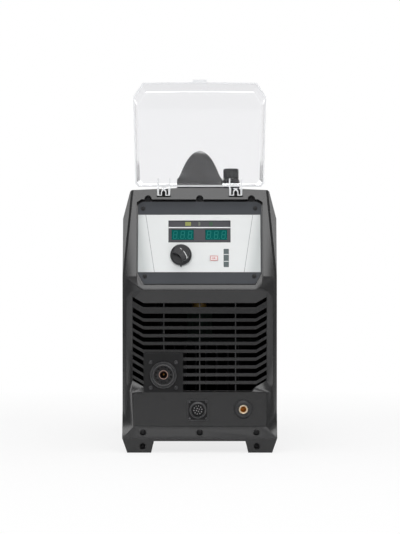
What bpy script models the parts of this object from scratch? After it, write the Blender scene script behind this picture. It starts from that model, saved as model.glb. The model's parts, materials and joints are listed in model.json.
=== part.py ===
"""Inverter plasma cutter power unit, with a clear hinged cover over its control panel.

Run it with: blender --background --python part.py
Metres, +Z up. The front looks along -Y. Places are written from the front plane of the
front bezel, and the empty "unit" then moves everything so that the origin is under the
middle of the whole machine.
"""

from math import cos, pi, radians, sin, tan

import bmesh
import bpy
from mathutils import Matrix, Vector

# ---- driving dimensions -------------------------------------------------------------
GAP = 0.0003  # clearance between pieces that touch

WIDTH = 0.258  # over the bezels
CROWN_Z = 0.442  # top of the bezels at the middle
CROWN_FLAT = 0.038  # half width of the level middle of the top
SHOULDER_Z = 0.4385  # height of the top corners
SHOULDER_IN = 0.0115  # how far the top corners stand in from the sides
WAIST_Z = 0.390  # where the sides start to lean in
CASE_LENGTH = 0.590  # front plane to rear plane
BEZEL_DEPTH = 0.075
BEZEL_WALL = 0.003
FACE_WALL = 0.021  # depth of the front face, louvres included
SIDE_CHAMFER = 0.004

TILT = radians(14)  # lean of the control face
BELLY_Z = 0.293  # where the control face starts
REAR_BELLY_Z = 0.425
LIP = 0.012  # the lower lip and feet stand this far forward
LIP_Z = 0.024
LIP_TOP_Z = 0.042
LIP_CORNER_Z = 0.071  # where the lip's corner facets end on the sides
LIP_CORNER_X = 0.111

FOOT_GAP_TOP = 0.076  # half width of the space between the feet, at its top
FOOT_GAP_FOOT = 0.0803  # and at the floor
FOOT_GAP_Z = 0.0192
FOOT_TOE_X = 0.1205  # half width of the machine at the floor

COVER_SHEET = 0.0012
TRAY_SHEET = 0.0015
TRAY_Z = LIP_Z + BEZEL_WALL + GAP
TRAY_FLANGE_Z = 0.062

PANEL_SINK = 0.008  # control panel below the control face
PANEL_THICK = 0.003
PANEL_HALF = 0.1040
PANEL_FOOT_HALF = 0.0935
PANEL_Z = (0.2805, 0.3000, 0.4140, 0.4190)
PANEL_HEAD_HALF = 0.0965
PANEL_MARGIN = 0.002  # dark gap round the panel
PANEL_LEDGE = 0.008
SILL_DROP = 0.006  # the sill under the panel slopes down this far
SILL_DEPTH = 0.006

GRILLE_HALF = 0.1123
GRILLE_KINK = 0.0943
GRILLE_RISE = 0.0105
GRILLE_SINK = 0.009
GRILLE_LIP = 0.0004  # flat strip round the slots
GRILLE_Z = (0.109, 0.2485)
FIN_PITCH = 0.01308
FIN_THICK = 0.0052
FIN_TOP_Z = 0.2201  # middle of the highest plain fin
FIN_COUNT = 9
BROAD_FIN = (0.2310, 0.2415)
SILL_Z = 0.1015  # bottom of the lowest slot
GRILLE_POST_X = (-0.0600, 0.0, 0.0600)
POST_THICK = 0.0018

TORCH_X, TORCH_Z = -0.0606, 0.1285
TORCH_PLATE = (-0.0936, -0.0279, 0.0970, 0.1655)  # flat round the torch socket
CNC_X, CNC_Z = -0.0030, 0.0700
WORK_X, WORK_Z = 0.0728, 0.0713
CONNECTOR_SINK = 0.001
CONNECTOR_HALF = 0.1105
CONNECTOR_Z = (0.044, 0.097)
CONNECTOR_WALL = 0.004

BEZEL_SCREW_R = 0.0055
BEZEL_SCREW_HOLE_R = 0.0026
BEZEL_SCREW_DEPTH = 0.012
TOP_SCREWS = ((-0.0870, 0.4236), (0.0, 0.4236), (0.0870, 0.4236))
LOW_SCREWS = ((-0.0945, 0.0330), (0.0, 0.0330), (0.0945, 0.0330))
FOOT_SCREWS = ((-0.0950, 0.0108), (0.0950, 0.0108))
TOP_SCREW_R = 0.0062

HINGE_X = 0.0607
HINGE_NOTCH = 0.0236
HINGE_NOTCH_Z = 0.4265
HINGE_Z = 0.4365
HINGE_SINK = 0.0045  # pin axis below the control face
HINGE_BACK = 0.0525  # back of the notch
PIN_R = 0.0019
PIN_BITE = 0.005  # each end of the pin sits this far in the bezel

LID_LENGTH = 0.1956
LID_DEPTH = 0.032
LID_WALL = 0.0025
LID_HALF = 0.1137
LID_HINGE_HALF = 0.1090
LID_CORNER = (0.0159, 0.0259)
LID_NEAR = 0.0095  # hinge axis to the near wall, at the rim
LID_RISE = 0.0005  # the closed rim stands off the control face

HANDLE_FRONT = 0.086
HANDLE_PAD_HALF = 0.039
HANDLE_PAD_LENGTH = 0.104
HANDLE_PAD_Z = 0.4630
HANDLE_TOP_Z = 0.5135
HANDLE_STEP_Z = 0.4615  # top of the plinth, where the rounded ramp starts
HANDLE_HALF = 0.0345
HANDLE_DOME_STEPS = 8
HANDLE_RIDGE_HALF = 0.0015  # half width of the flat along the very top
HANDLE_GRIP_HALF = 0.0165
HANDLE_GRIP_UNDER = 0.4860
HANDLE_RAMP = 0.085  # length of the sloping end
HANDLE_GAP_START = 0.122  # finger gap, from the handle's ends
HANDLE_SCREW_IN = 0.025

FAN_Z = 0.150
FAN_SIZE = 0.150
FAN_DEPTH = 0.038
FAN_BORE = 0.071
FAN_BLADE = 0.0675
FAN_HUB = 0.028
FAN_CORNER = 0.010
BLADES = 7
BLADE_PITCH = radians(32)

REAR_SINK = 0.006
REAR_SHEET = 0.0015
REAR_WINDOW = (0.108, 0.046, 0.392)  # half width, bottom, top
REAR_WINDOW_CORNER = 0.012

VENT_Y = (0.150, 0.330)  # fronts of the two columns of side vents
VENT_LENGTH = 0.110
VENT_Z = 0.095
VENT_PITCH = 0.022
VENT_HIGH = 0.006
VENT_ROWS = 6

SWITCH_X, SWITCH_Z = -0.060, 0.340
GLAND_X, GLAND_Z = -0.060, 0.262
PORT_X, PORT_Z = 0.010, 0.330
EARTH_X, EARTH_Z = -0.0905, 0.0620

REG_X = 0.0612
REG_OFF = 0.026  # regulator axis behind the rear plane
REG_BODY = (0.040, 0.4150, 0.4550)  # width, bottom, top
REG_BONNET_TOP = 0.4810
REG_KNOB = (0.0150, 0.4816, 0.5016)  # radius, bottom, top
GAUGE_R = 0.0205
GAUGE_Z = 0.4350
GAUGE_DEPTH = 0.0240
GAUGE_STEM_R = 0.0048
GAUGE_WALL = 0.0018
GAUGE_PIN_R = 0.0009

FOIL_X = (-0.1038, 0.1024)  # pale foil on the panel, seen from the front
FOIL_Z = (0.3000, 0.3970)
FOIL_THICK = 0.0005
SCREEN_X = (-0.0526, 0.0519)
SCREEN_Z = (0.3500, 0.3872)
DISPLAY_LEFT = (-0.0475, -0.0099)
DISPLAY_RIGHT = (0.0092, 0.0463)
DISPLAY_Z = (0.3542, 0.3718)
LAMP_X = (-0.0500, 0.0500)
LAMP_Z = (0.3772, 0.3858)
MODE_X = (0.0404, 0.0486)
MODE_Z = (0.3090, 0.3390)
KNOB_X, KNOB_Z = -0.0314, 0.3283
KNOB_R = 0.0183
KNOB_HEIGHT = 0.0185
SHAFT_R = 0.0030
ENCODER_NECK_R = 0.0046
BUTTON_X, BUTTON_Z = 0.0240, 0.3238
BUTTON_HALF = (0.0066, 0.0045)
BUTTON_TRAVEL = 0.001
BUTTON_FLANGE = 0.001  # the rim behind the panel that keeps the button in
BOARD_OFF = 0.011  # control board behind the panel
BOARD_THICK = 0.0016
BOARD_POST_X = 0.080
BOARD_POST_IN = 0.015  # posts from the panel's lower and upper corners
BOARD_POST_R = 0.004
ENCODER_HALF = 0.0065

LID_DRAFT = 0.0045  # the outer face is smaller than the rim by this
LID_NEAR_SLOPE = 0.0120  # the near wall slopes back over the bezel
LID_TAB = 0.0045
LID_EYE_R = 0.0038
LID_LEG_OUT = 0.0100
LID_RIB = 0.0150  # height of the ribs over the legs
LID_LEG_THICK = 0.0022
LID_HOOK_HALF = 0.00375

HANDLE_BORE_R = 0.0080

TORCH_RING_R = 0.0225
TORCH_SLEEVE_R = 0.0190
TORCH_BORE_R = 0.0157
TORCH_PROUD = 0.0030
TORCH_DEPTH = 0.0360
TORCH_INSET = 0.0100  # insulator face below the front plane
TORCH_TUBE_R = 0.0074
TORCH_TUBE_BORE_R = 0.0058
TORCH_TUBE_Y = 0.0050
TORCH_HOLES = 12
TORCH_HOLE_RING = 0.0117
TORCH_HOLE_R = 0.0011

CNC_FLANGE = 0.0360
CNC_PLATE = 0.0022
CNC_BARREL_R = 0.0128
CNC_PROUD = 0.0050
CNC_DEPTH = 0.0220
CNC_INSET = 0.0070

WORK_COLLAR_R = 0.0155
WORK_SLEEVE_R = 0.0110
WORK_BORE_R = 0.0080
WORK_PIN_R = 0.0050
WORK_PROUD = 0.0055
WORK_INSET = -0.0035
WORK_DEPTH = 0.0270

GUARD_RINGS = 5
GUARD_FIRST_R = 0.0160
GUARD_PITCH = 0.0128
GUARD_WIRE = 0.0018

SWITCH_PLATE = 0.0480
SWITCH_CASE = 0.0420
SWITCH_NECK_R = 0.0160
SWITCH_SHAFT_R = 0.0050
SWITCH_KNOB_R = 0.0170
GLAND_R = 0.0100
GLAND_BORE_R = 0.0065
PORT_R = 0.0060
EARTH_R = 0.0030
HOSE_R = 0.0042
HOSE_BORE_R = 0.0028
VALVE_LENGTH = 0.040
VALVE_HALF = 0.014

BRACKET_SHEET = 0.0020
BRACKET_LOW = 0.3960
REG_NECK_R = 0.0140
REG_BONNET_R = 0.0170
REG_SPRING_R = 0.0100
REG_SCREW_R = 0.0040
REG_GROOVES = 12
REG_PULL = 0.003
BOWL_LOW = 0.3420
DRAIN_R = 0.0030
DRAIN_TRAVEL = 0.0025
FITTING_R = 0.0065
GAUGE_START = 135  # needle at rest, from straight up

SINK_X = (-0.0700, 0.0700)
SINK_Y = (0.2000, 0.4200)
SINK_HIGH = 0.1500
SINK_SLOTS = 7
BOARD_X = (-0.1100, 0.1100)
BOARD_Y = (0.1900, 0.4400)
CAPACITOR_X, CAPACITOR_Y = 0.0400, 0.3300
CAPACITOR_R = 0.0175
CAPACITOR_HIGH = 0.0620
CORE_X, CORE_Y = 0.0050, 0.1300
CORE_SIZE = 0.0660  # the transformer's core is a square ring
CORE_DEEP = 0.0260
CORE_LIMB = 0.0150
COIL_WALL = 0.0090
CHOKE_X, CHOKE_Y = -0.0005, 0.2150
CHOKE_SIZE = (0.0050, 0.0130, 0.0125)  # inner radius, outer radius, height
MODULE_HIGH = 0.0560

SLOPE = tan(TILT)


def console_y(z, sink=0.0):
    """Y of the control face, or of a plane parallel to it and below it."""
    return (z - BELLY_Z) * SLOPE + sink / cos(TILT)


REG_Y = CASE_LENGTH + REG_OFF
GAUGE_FACE_Y = REG_Y + REG_BODY[0] / 2 + GAP + GAUGE_DEPTH
REAR_FACE_Y = CASE_LENGTH - REAR_SINK
REAR_INNER_Y = REAR_FACE_Y - REAR_SHEET
UNIT_Y = -(GAUGE_FACE_Y - LIP) / 2
HINGE_Y = console_y(HINGE_Z, HINGE_SINK)

# ---- colours ------------------------------------------------------------------------
COLOURS = {
    "bezel_plastic": ((0.060, 0.060, 0.063), 0.55, 0.0),
    "cover_paint": ((0.075, 0.077, 0.082), 0.45, 0.0),
    "tray_steel": ((0.45, 0.46, 0.47), 0.40, 0.9),
    "panel_foil": ((0.80, 0.82, 0.81), 0.40, 0.0),
    "display_teal": ((0.005, 0.150, 0.140), 0.15, 0.0),
    "dark_window": ((0.085, 0.095, 0.105), 0.25, 0.0),
    "button_foil": ((0.80, 0.72, 0.70), 0.45, 0.0),
    "knob_plastic": ((0.030, 0.031, 0.033), 0.35, 0.0),
    "clear_plastic": ((0.90, 0.90, 0.92), 0.06, 0.0),
    "black_nylon": ((0.022, 0.022, 0.024), 0.50, 0.0),
    "brass": ((0.78, 0.52, 0.18), 0.28, 1.0),
    "copper": ((0.72, 0.38, 0.26), 0.35, 1.0),
    "steel": ((0.62, 0.62, 0.63), 0.30, 1.0),
    "cast_alloy": ((0.55, 0.56, 0.57), 0.45, 0.9),
    "smoke_bowl": ((0.75, 0.78, 0.80), 0.08, 0.0),
    "gauge_white": ((0.85, 0.85, 0.84), 0.50, 0.0),
    "hose_blue": ((0.03, 0.10, 0.32), 0.35, 0.0),
    "board_green": ((0.02, 0.16, 0.08), 0.50, 0.0),
    "heat_sink": ((0.60, 0.61, 0.62), 0.45, 0.9),
    "core_grey": ((0.10, 0.10, 0.11), 0.60, 0.0),
    "winding_tape": ((0.55, 0.34, 0.08), 0.45, 0.0),
    "red_plastic": ((0.50, 0.02, 0.02), 0.40, 0.0),
    "steel_sheet": ((0.085, 0.087, 0.092), 0.45, 0.0),
}


# ---- scene helpers ------------------------------------------------------------------
def clear_scene():
    for obj in list(bpy.data.objects):
        bpy.data.objects.remove(obj)


def new_collection(name):
    group = bpy.data.collections.new(name)
    bpy.context.scene.collection.children.link(group)
    return group


def new_empty(name, place, turn=(0, 0, 0), parent=None):
    empty = bpy.data.objects.new(name, None)
    PARTS.objects.link(empty)
    empty.location = place
    empty.rotation_euler = turn
    empty.parent = parent
    return empty


def material(slot):
    found = bpy.data.materials.get(slot)
    if found:
        return found
    colour, roughness, metallic = COLOURS[slot]
    made = bpy.data.materials.new(slot)
    made.use_nodes = True
    shader = made.node_tree.nodes["Principled BSDF"]
    shader.inputs["Base Color"].default_value = (*colour, 1.0)
    shader.inputs["Roughness"].default_value = roughness
    shader.inputs["Metallic"].default_value = metallic
    return made


def add(name, bm, slot, parent=None):
    """One sub-part, from a bmesh."""
    mesh = bpy.data.meshes.new(name)
    bmesh.ops.recalc_face_normals(bm, faces=bm.faces)
    bm.to_mesh(mesh)
    bm.free()
    mesh.materials.append(material(slot))
    mesh.shade_smooth()
    mesh.set_sharp_from_angle(angle=radians(35))
    obj = bpy.data.objects.new(name, mesh)
    PARTS.objects.link(obj)
    obj.parent = parent or UNIT
    return obj


def helper(bm, parent):
    """A hidden shape that a Boolean modifier reads."""
    mesh = bpy.data.meshes.new("helper")
    bmesh.ops.recalc_face_normals(bm, faces=bm.faces)
    bm.to_mesh(mesh)
    bm.free()
    obj = bpy.data.objects.new("helper", mesh)
    CUTTERS.objects.link(obj)
    obj.parent = parent
    obj.hide_render = True
    obj.display_type = "WIRE"
    return obj


def combine(target, bm, operation, frame=None):
    """frame is the empty that the second shape is drawn in, when it isn't the target's own."""
    modifier = target.modifiers.new(operation.lower(), "BOOLEAN")
    modifier.operation = operation
    modifier.solver = "EXACT"
    modifier.object = helper(bm, frame or target.parent)


def cut(target, *shapes, frame=None):
    for bm in shapes:
        combine(target, bm, "DIFFERENCE", frame)


def fuse(target, *shapes, frame=None):
    for bm in shapes:
        combine(target, bm, "UNION", frame)


# ---- shapes -------------------------------------------------------------------------
def box(x, y, z):
    """A block between two X, two Y and two Z values."""
    bm = bmesh.new()
    bmesh.ops.create_cube(bm, size=1.0)
    size = Vector((x[1] - x[0], y[1] - y[0], z[1] - z[0]))
    middle = Vector((x[0] + x[1], y[0] + y[1], z[0] + z[1])) / 2
    bmesh.ops.scale(bm, vec=size, verts=bm.verts)
    bmesh.ops.translate(bm, vec=middle, verts=bm.verts)
    return bm


TURNS = {
    "X": Matrix.Rotation(pi / 2, 4, "Y"),
    "Y": Matrix.Rotation(-pi / 2, 4, "X"),
    "Z": Matrix.Identity(4),
}


def rod(axis, centre, start, end, radius, end_radius=None, sides=24):
    """A round bar along an axis, between two values on that axis."""
    bm = bmesh.new()
    bmesh.ops.create_cone(
        bm,
        cap_ends=True,
        segments=sides,
        radius1=radius,
        radius2=radius if end_radius is None else end_radius,
        depth=end - start,
    )
    bmesh.ops.translate(bm, vec=(0, 0, (start + end) / 2), verts=bm.verts)
    bmesh.ops.rotate(bm, matrix=TURNS[axis].to_3x3(), verts=bm.verts)
    a, b = centre
    place = {"X": (0, a, b), "Y": (a, 0, b), "Z": (a, b, 0)}[axis]
    bmesh.ops.translate(bm, vec=place, verts=bm.verts)
    return bm


def turned(profile, sides=24):
    """A solid turned about Z from (radius, height) points; a profile may start and end on the axis."""
    bm = bmesh.new()
    points = [bm.verts.new((r, 0, z)) for r, z in profile]
    edges = [bm.edges.new(pair) for pair in zip(points, points[1:])]
    if profile[0][0] > 0:
        edges.append(bm.edges.new((points[-1], points[0])))
    turn = {"axis": (0, 0, 1), "angle": 2 * pi, "steps": sides, "use_merge": True}
    bmesh.ops.spin(bm, geom=points + edges, cent=(0, 0, 0), **turn)
    bmesh.ops.remove_doubles(bm, verts=bm.verts, dist=0.00001)
    return bm


def placed(bm, axis="Z", at=(0, 0, 0)):
    """Turns a shape made along Z onto another axis and moves it."""
    bmesh.ops.rotate(bm, matrix=TURNS[axis].to_3x3(), verts=bm.verts)
    bmesh.ops.translate(bm, vec=at, verts=bm.verts)
    return bm


def extruded(points, start, end, place):
    """An outline drawn flat and extruded; place(a, b, depth) gives each point's position.
    start and end are depths, or functions of the outline's two coordinates."""
    near = start if callable(start) else lambda a, b: start
    far = end if callable(end) else lambda a, b: end
    bm = bmesh.new()
    first = [bm.verts.new(place(a, b, near(a, b))) for a, b in points]
    face = bm.faces.new(first)
    out = bmesh.ops.extrude_face_region(bm, geom=[face], use_keep_orig=True)
    moved = {v for v in out["geom"] if isinstance(v, bmesh.types.BMVert)}
    for vert in moved:
        a, b = min(points, key=lambda p: (Vector(place(*p, near(*p))) - vert.co).length)
        vert.co = place(a, b, far(a, b))
    return bm


def along_y(points, start, end):
    return extruded(points, start, end, lambda a, b, d: (a, d, b))


def along_x(points, start, end):
    return extruded(points, start, end, lambda a, b, d: (d, a, b))


def along_z(points, start, end):
    return extruded(points, start, end, lambda a, b, d: (a, b, d))


def tapered_y(near, far, start, end):
    """A loft along Y between two outlines with the same number of points."""
    bm = bmesh.new()
    first = [bm.verts.new((x, start, z)) for x, z in near]
    last = [bm.verts.new((x, end, z)) for x, z in far]
    loops = [[bm.edges.new((ring[i - 1], ring[i])) for i in range(len(ring))] for ring in (first, last)]
    bmesh.ops.bridge_loops(bm, edges=loops[0] + loops[1])
    bm.faces.new(first)
    bm.faces.new(last)
    bmesh.ops.triangulate(bm, faces=bm.faces)
    return bm


def hull(points):
    bm = bmesh.new()
    verts = [bm.verts.new(p) for p in points]
    out = bmesh.ops.convex_hull(bm, input=verts)
    loose = [v for v in out["geom_interior"] + out["geom_unused"] if isinstance(v, bmesh.types.BMVert)]
    bmesh.ops.delete(bm, geom=list(set(loose)), context="VERTS")
    return bm


def together(shapes):
    """Several shapes that don't touch each other, as one bmesh."""
    whole = bmesh.new()
    for bm in shapes:
        bmesh.ops.recalc_face_normals(bm, faces=bm.faces)
        mesh = bpy.data.meshes.new("joined")
        bm.to_mesh(mesh)
        bm.free()
        whole.from_mesh(mesh)
        bpy.data.meshes.remove(mesh)
    return whole


def mirrored(half):
    """A closed outline from its right half, listed from one end to the other."""
    return half + [(-x, z) for x, z in reversed(half)]


def cut_corners(half, low, high, corner):
    """A rectangle round X = 0 with its four corners cut off."""
    in_x = half - corner
    return mirrored([(in_x, low), (half, low + corner), (half, high - corner), (in_x, high)])


def spun(bm, angle, axis="Y", cent=(0, 0, 0)):
    """Turns a shape about an axis through a point."""
    bmesh.ops.rotate(bm, cent=cent, matrix=Matrix.Rotation(angle, 3, axis), verts=bm.verts)
    return bm


def tube(name, points, radius, slot, sides_resolution=2):
    """A round hose or wire along points, as a curve with filled ends."""
    curve = bpy.data.curves.new(name, "CURVE")
    curve.dimensions = "3D"
    curve.bevel_depth = radius
    curve.bevel_resolution = sides_resolution
    curve.use_fill_caps = True
    spline = curve.splines.new("POLY")
    spline.points.add(len(points) - 1)
    for point, co in zip(spline.points, points):
        point.co = (*co, 1.0)
    curve.materials.append(material(slot))
    obj = bpy.data.objects.new(name, curve)
    PARTS.objects.link(obj)
    obj.parent = UNIT
    return obj


def smooth_path(stops, steps):
    """Points on a smooth curve through the stops."""
    points = []
    ends = [stops[0], *stops, stops[-1]]
    for a, b, c, d in zip(ends, ends[1:], ends[2:], ends[3:]):
        a, b, c, d = (Vector(p) for p in (a, b, c, d))
        for i in range(steps):
            t = i / steps
            bend = (2 * a - 5 * b + 4 * c - d) * t**2
            twist = (3 * b - a - 3 * c + d) * t**3
            points.append((2 * b + (c - a) * t + bend + twist) / 2)
    points.append(Vector(stops[-1]))
    return points


# ---- case outline -------------------------------------------------------------------
def half_width(z, inset=0.0):
    """Half the case's width at a height, less an inset."""
    if z <= WAIST_Z:
        return WIDTH / 2 - inset
    lean = (z - WAIST_Z) / (SHOULDER_Z - WAIST_Z)
    return WIDTH / 2 - SHOULDER_IN * lean - inset


def case_outline(bottom, inset=0.0):
    """Outline of the case from a height to its crown."""
    top = SHOULDER_Z - inset
    shoulder = half_width(top) - inset
    return mirrored(
        [
            (half_width(bottom, inset), bottom),
            (half_width(WAIST_Z, inset), WAIST_Z),
            (shoulder, top - 0.0025),
            (shoulder - 0.0025, top),
            (CROWN_FLAT, CROWN_Z - inset),
        ]
    )


def foot_outline():
    """The bezel's outline with its feet, down to the floor."""
    upper = case_outline(LIP_Z)
    return [(FOOT_TOE_X, 0.0), *upper, (-FOOT_TOE_X, 0.0)]


def bezel_blank(name, belly_z, slope):
    """The outside of a bezel: a face that leans back above its belly, and a lip on two feet."""
    blank = add(name, along_y(foot_outline(), -LIP, BEZEL_DEPTH), "bezel_plastic")
    top = CROWN_Z + 0.01
    air = [
        (-LIP - 0.01, LIP_Z),
        (-LIP, LIP_Z),
        (0.0, LIP_TOP_Z),
        (0.0, belly_z),
        ((top - belly_z) * slope, top),
        (-LIP - 0.01, top),
    ]
    cut(blank, along_x(air, -WIDTH, WIDTH))
    for side in (-1, 1):
        edge = side * WIDTH / 2
        cut(blank, edge_chamfer(side, LIP_CORNER_Z - 0.008, belly_z, 0.0))
        cut(blank, edge_chamfer(side, belly_z - 0.0001, CROWN_Z + 0.01, slope))
        corner = [
            (side * LIP_CORNER_X, 0.0, LIP_TOP_Z),
            (edge, SIDE_CHAMFER * 1.5, LIP_CORNER_Z),
            (edge, -LIP, LIP_Z),
            (side * LIP_CORNER_X, 0.011, LIP_TOP_Z),
            (edge, 0.011, LIP_CORNER_Z),
            (edge, 0.011, LIP_Z),
        ]
        fuse(blank, hull(corner))
    gap = [
        (FOOT_GAP_FOOT + 0.002, -0.01),
        (FOOT_GAP_FOOT, 0.003),
        (FOOT_GAP_TOP, FOOT_GAP_Z),
        (-FOOT_GAP_TOP, FOOT_GAP_Z),
        (-FOOT_GAP_FOOT, 0.003),
        (-FOOT_GAP_FOOT - 0.002, -0.01),
    ]
    cut(blank, along_y(gap, -0.05, BEZEL_DEPTH + 0.05))
    return blank


def edge_chamfer(side, low, high, slope):
    """A wedge that takes the sharp edge off one side of a bezel's face."""
    reach = SIDE_CHAMFER * 1.5
    points = []
    for z in (low, high):
        edge = side * half_width(z)
        face = (z - low) * slope
        points += [
            (edge - side * SIDE_CHAMFER, face, z),
            (edge, face + reach, z),
            (edge + side * 0.02, face + reach, z),
            (edge + side * 0.02, face - 0.03, z),
            (edge - side * SIDE_CHAMFER, face - 0.03, z),
        ]
    return hull(points)


def grown(ring, by):
    """An outline round the machine's middle, moved out by a distance on every side."""
    middle = sum(z for _, z in ring) / len(ring)
    return [(x + (by if x > 0 else -by), z + (by if z > middle else -by)) for x, z in ring]


def slope_z(z, sink):
    """Distance up the control face, from its belly, of a point at this height and depth."""
    return (z - BELLY_Z + sink * sin(TILT)) / cos(TILT)


# ---- front bezel --------------------------------------------------------------------
def chevron(low, high):
    """Outline of one louvre slot."""
    return [
        (-GRILLE_HALF, low + GRILLE_RISE),
        (-GRILLE_KINK, low),
        (GRILLE_KINK, low),
        (GRILLE_HALF, low + GRILLE_RISE),
        (GRILLE_HALF, high + GRILLE_RISE),
        (GRILLE_KINK, high),
        (-GRILLE_KINK, high),
        (-GRILLE_HALF, high + GRILLE_RISE),
    ]


def slot_heights():
    heights = [(BROAD_FIN[1], GRILLE_Z[1]), (FIN_TOP_Z + FIN_THICK / 2, BROAD_FIN[0])]
    for i in range(FIN_COUNT - 1):
        middle = FIN_TOP_Z - FIN_PITCH * (i + 0.5)
        half = (FIN_PITCH - FIN_THICK) / 2
        heights.append((middle - half, middle + half))
    return heights


def panel_ring():
    """Outline of the control panel, up the slope of the control face."""
    low, low_side, high_side, high = (slope_z(z, PANEL_SINK) for z in PANEL_Z)
    return mirrored(
        [(PANEL_FOOT_HALF, low), (PANEL_HALF, low_side), (PANEL_HALF, high_side), (PANEL_HEAD_HALF, high)]
    )


def cut_panel_recess(bezel):
    ring = grown(panel_ring(), PANEL_MARGIN)
    floor = PANEL_SINK + PANEL_THICK + GAP
    cut(bezel, along_y(ring, -0.05, floor), frame=CONSOLE)
    cut(bezel, along_y(grown(panel_ring(), -PANEL_LEDGE), 0.0, FACE_WALL + 0.02), frame=CONSOLE)
    sill = []
    for x, z in mirrored([(PANEL_FOOT_HALF, PANEL_Z[0] - 0.0035), (PANEL_HALF + 0.0018, PANEL_Z[1])]):
        depth = console_y(z, SILL_DEPTH)
        sill += [(x, depth, z), (x, -0.03, z - SILL_DROP * (depth + 0.03) / depth)]
        sill += [(x, depth, z + 0.02), (x, -0.03, z + 0.02)]
    cut(bezel, hull(sill))


def cut_grille(bezel):
    lip = GRILLE_LIP
    outer = mirrored(
        [
            (0.0860, SILL_Z - 0.0017),
            (0.1137, SILL_Z - 0.0017),
            (0.1220, 0.1137),
            (0.1220, 0.2560),
            (0.1137, 0.2680),
            (GRILLE_KINK, 0.2680),
        ]
    )
    inner = mirrored(
        [
            (0.0860, SILL_Z),
            (GRILLE_KINK, SILL_Z + 0.0070),
            (GRILLE_HALF + lip, SILL_Z + 0.0175),
            (GRILLE_HALF + lip, GRILLE_Z[1] + GRILLE_RISE - 0.0020),
            (GRILLE_HALF - 0.0025, GRILLE_Z[1] + GRILLE_RISE - 0.0014 + lip),
            (GRILLE_KINK, GRILLE_Z[1] + lip),
        ]
    )
    forward = 0.002
    reach = [
        (x + (x - a) * forward / GRILLE_SINK, z + (z - b) * forward / GRILLE_SINK)
        for (x, z), (a, b) in zip(outer, inner)
    ]
    cut(bezel, tapered_y(reach, inner, -forward, GRILLE_SINK))
    back = FACE_WALL + 0.002
    slots = [along_y(chevron(low, high), GRILLE_SINK - 0.001, back) for low, high in slot_heights()]
    cut(bezel, together(slots))
    last = FIN_TOP_Z - FIN_PITCH * (FIN_COUNT - 0.5) - FIN_THICK / 2 + FIN_PITCH / 2
    lowest = mirrored(
        [
            (GRILLE_KINK, last),
            (GRILLE_HALF, last + GRILLE_RISE),
            (GRILLE_HALF, SILL_Z + 0.0175 + lip),
            (GRILLE_KINK, SILL_Z + 0.0070 + lip),
            (0.0860, SILL_Z + lip),
        ]
    )
    cut(bezel, along_y(lowest, GRILLE_SINK - 0.001, back))
    for x in GRILLE_POST_X:
        half = POST_THICK / 2
        depth = (GRILLE_SINK + 0.0015, FACE_WALL - 0.001)
        fuse(bezel, box((x - half, x + half), depth, (SILL_Z - 0.003, GRILLE_Z[1] + 0.003)))
    left, right, low, high = TORCH_PLATE
    fuse(bezel, box((left, right), (CONNECTOR_SINK, FACE_WALL - 0.0005), (low - 0.003, high)))
    wall = BEZEL_WALL
    depth = (CONNECTOR_WALL + CONNECTOR_SINK, FACE_WALL + 0.01)
    cut(bezel, box((left + wall, right - wall), depth, (low - 0.01, high - wall)))


def cut_screw_holes(bezel):
    for x, z in TOP_SCREWS:
        face = console_y(z)
        cut(bezel, rod("Y", (x, z), face - 0.02, face + BEZEL_SCREW_DEPTH, TOP_SCREW_R, sides=16))
        cut(bezel, rod("Y", (x, z), face, face + FACE_WALL + 0.005, BEZEL_SCREW_HOLE_R, sides=8))
    for x, z in LOW_SCREWS + FOOT_SCREWS:
        cut(bezel, rod("Y", (x, z), -LIP - 0.01, BEZEL_SCREW_DEPTH - LIP, BEZEL_SCREW_R, sides=14))


def make_front_bezel():
    bezel = bezel_blank("front_bezel", BELLY_Z, SLOPE)
    half = half_width(0.0, BEZEL_WALL)
    back = BEZEL_DEPTH + 0.01
    cut(bezel, box((-half, half), (FACE_WALL, back), (LIP_Z + BEZEL_WALL, BELLY_Z + 0.0004)))
    upper = case_outline(BELLY_Z, BEZEL_WALL)
    cut(bezel, along_y(upper, lambda x, z: console_y(z) + FACE_WALL, back))
    cut_grille(bezel)
    cut_panel_recess(bezel)
    field = (-CONNECTOR_HALF, CONNECTOR_HALF)
    cut(bezel, box(field, (-0.01, CONNECTOR_SINK), CONNECTOR_Z))
    left, right, low, high = TORCH_PLATE
    link = (CONNECTOR_Z[1] - 0.001, low + 0.006)
    cut(bezel, box((left + 0.001, right - 0.001), (-0.01, CONNECTOR_SINK), link))
    behind = (CONNECTOR_SINK + CONNECTOR_WALL, FACE_WALL + 0.01)
    cut(bezel, box((-0.1180, 0.1180), behind, (CONNECTOR_Z[0] + 0.002, CONNECTOR_Z[1] - 0.0015)))
    cut(bezel, rod("Y", (TORCH_X, TORCH_Z), -0.01, FACE_WALL, TORCH_SLEEVE_R + GAP, sides=24))
    cut(bezel, rod("Y", (CNC_X, CNC_Z), -0.01, FACE_WALL, CNC_BARREL_R + GAP, sides=24))
    cut(bezel, rod("Y", (WORK_X, WORK_Z), -0.01, FACE_WALL, WORK_SLEEVE_R + GAP, sides=24))
    cut_screw_holes(bezel)
    for side in (-1, 1):
        x = side * HINGE_X
        notch = (x - HINGE_NOTCH / 2, x + HINGE_NOTCH / 2)
        cut(bezel, box(notch, (-0.02, HINGE_BACK), (HINGE_NOTCH_Z, CROWN_Z + 0.01)))
        ends = (HINGE_NOTCH / 2 + PIN_BITE + GAP) * side
        cut(bezel, rod("X", (HINGE_Y, HINGE_Z), x - abs(ends), x + abs(ends), PIN_R + GAP, sides=16))
    return bezel


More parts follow.
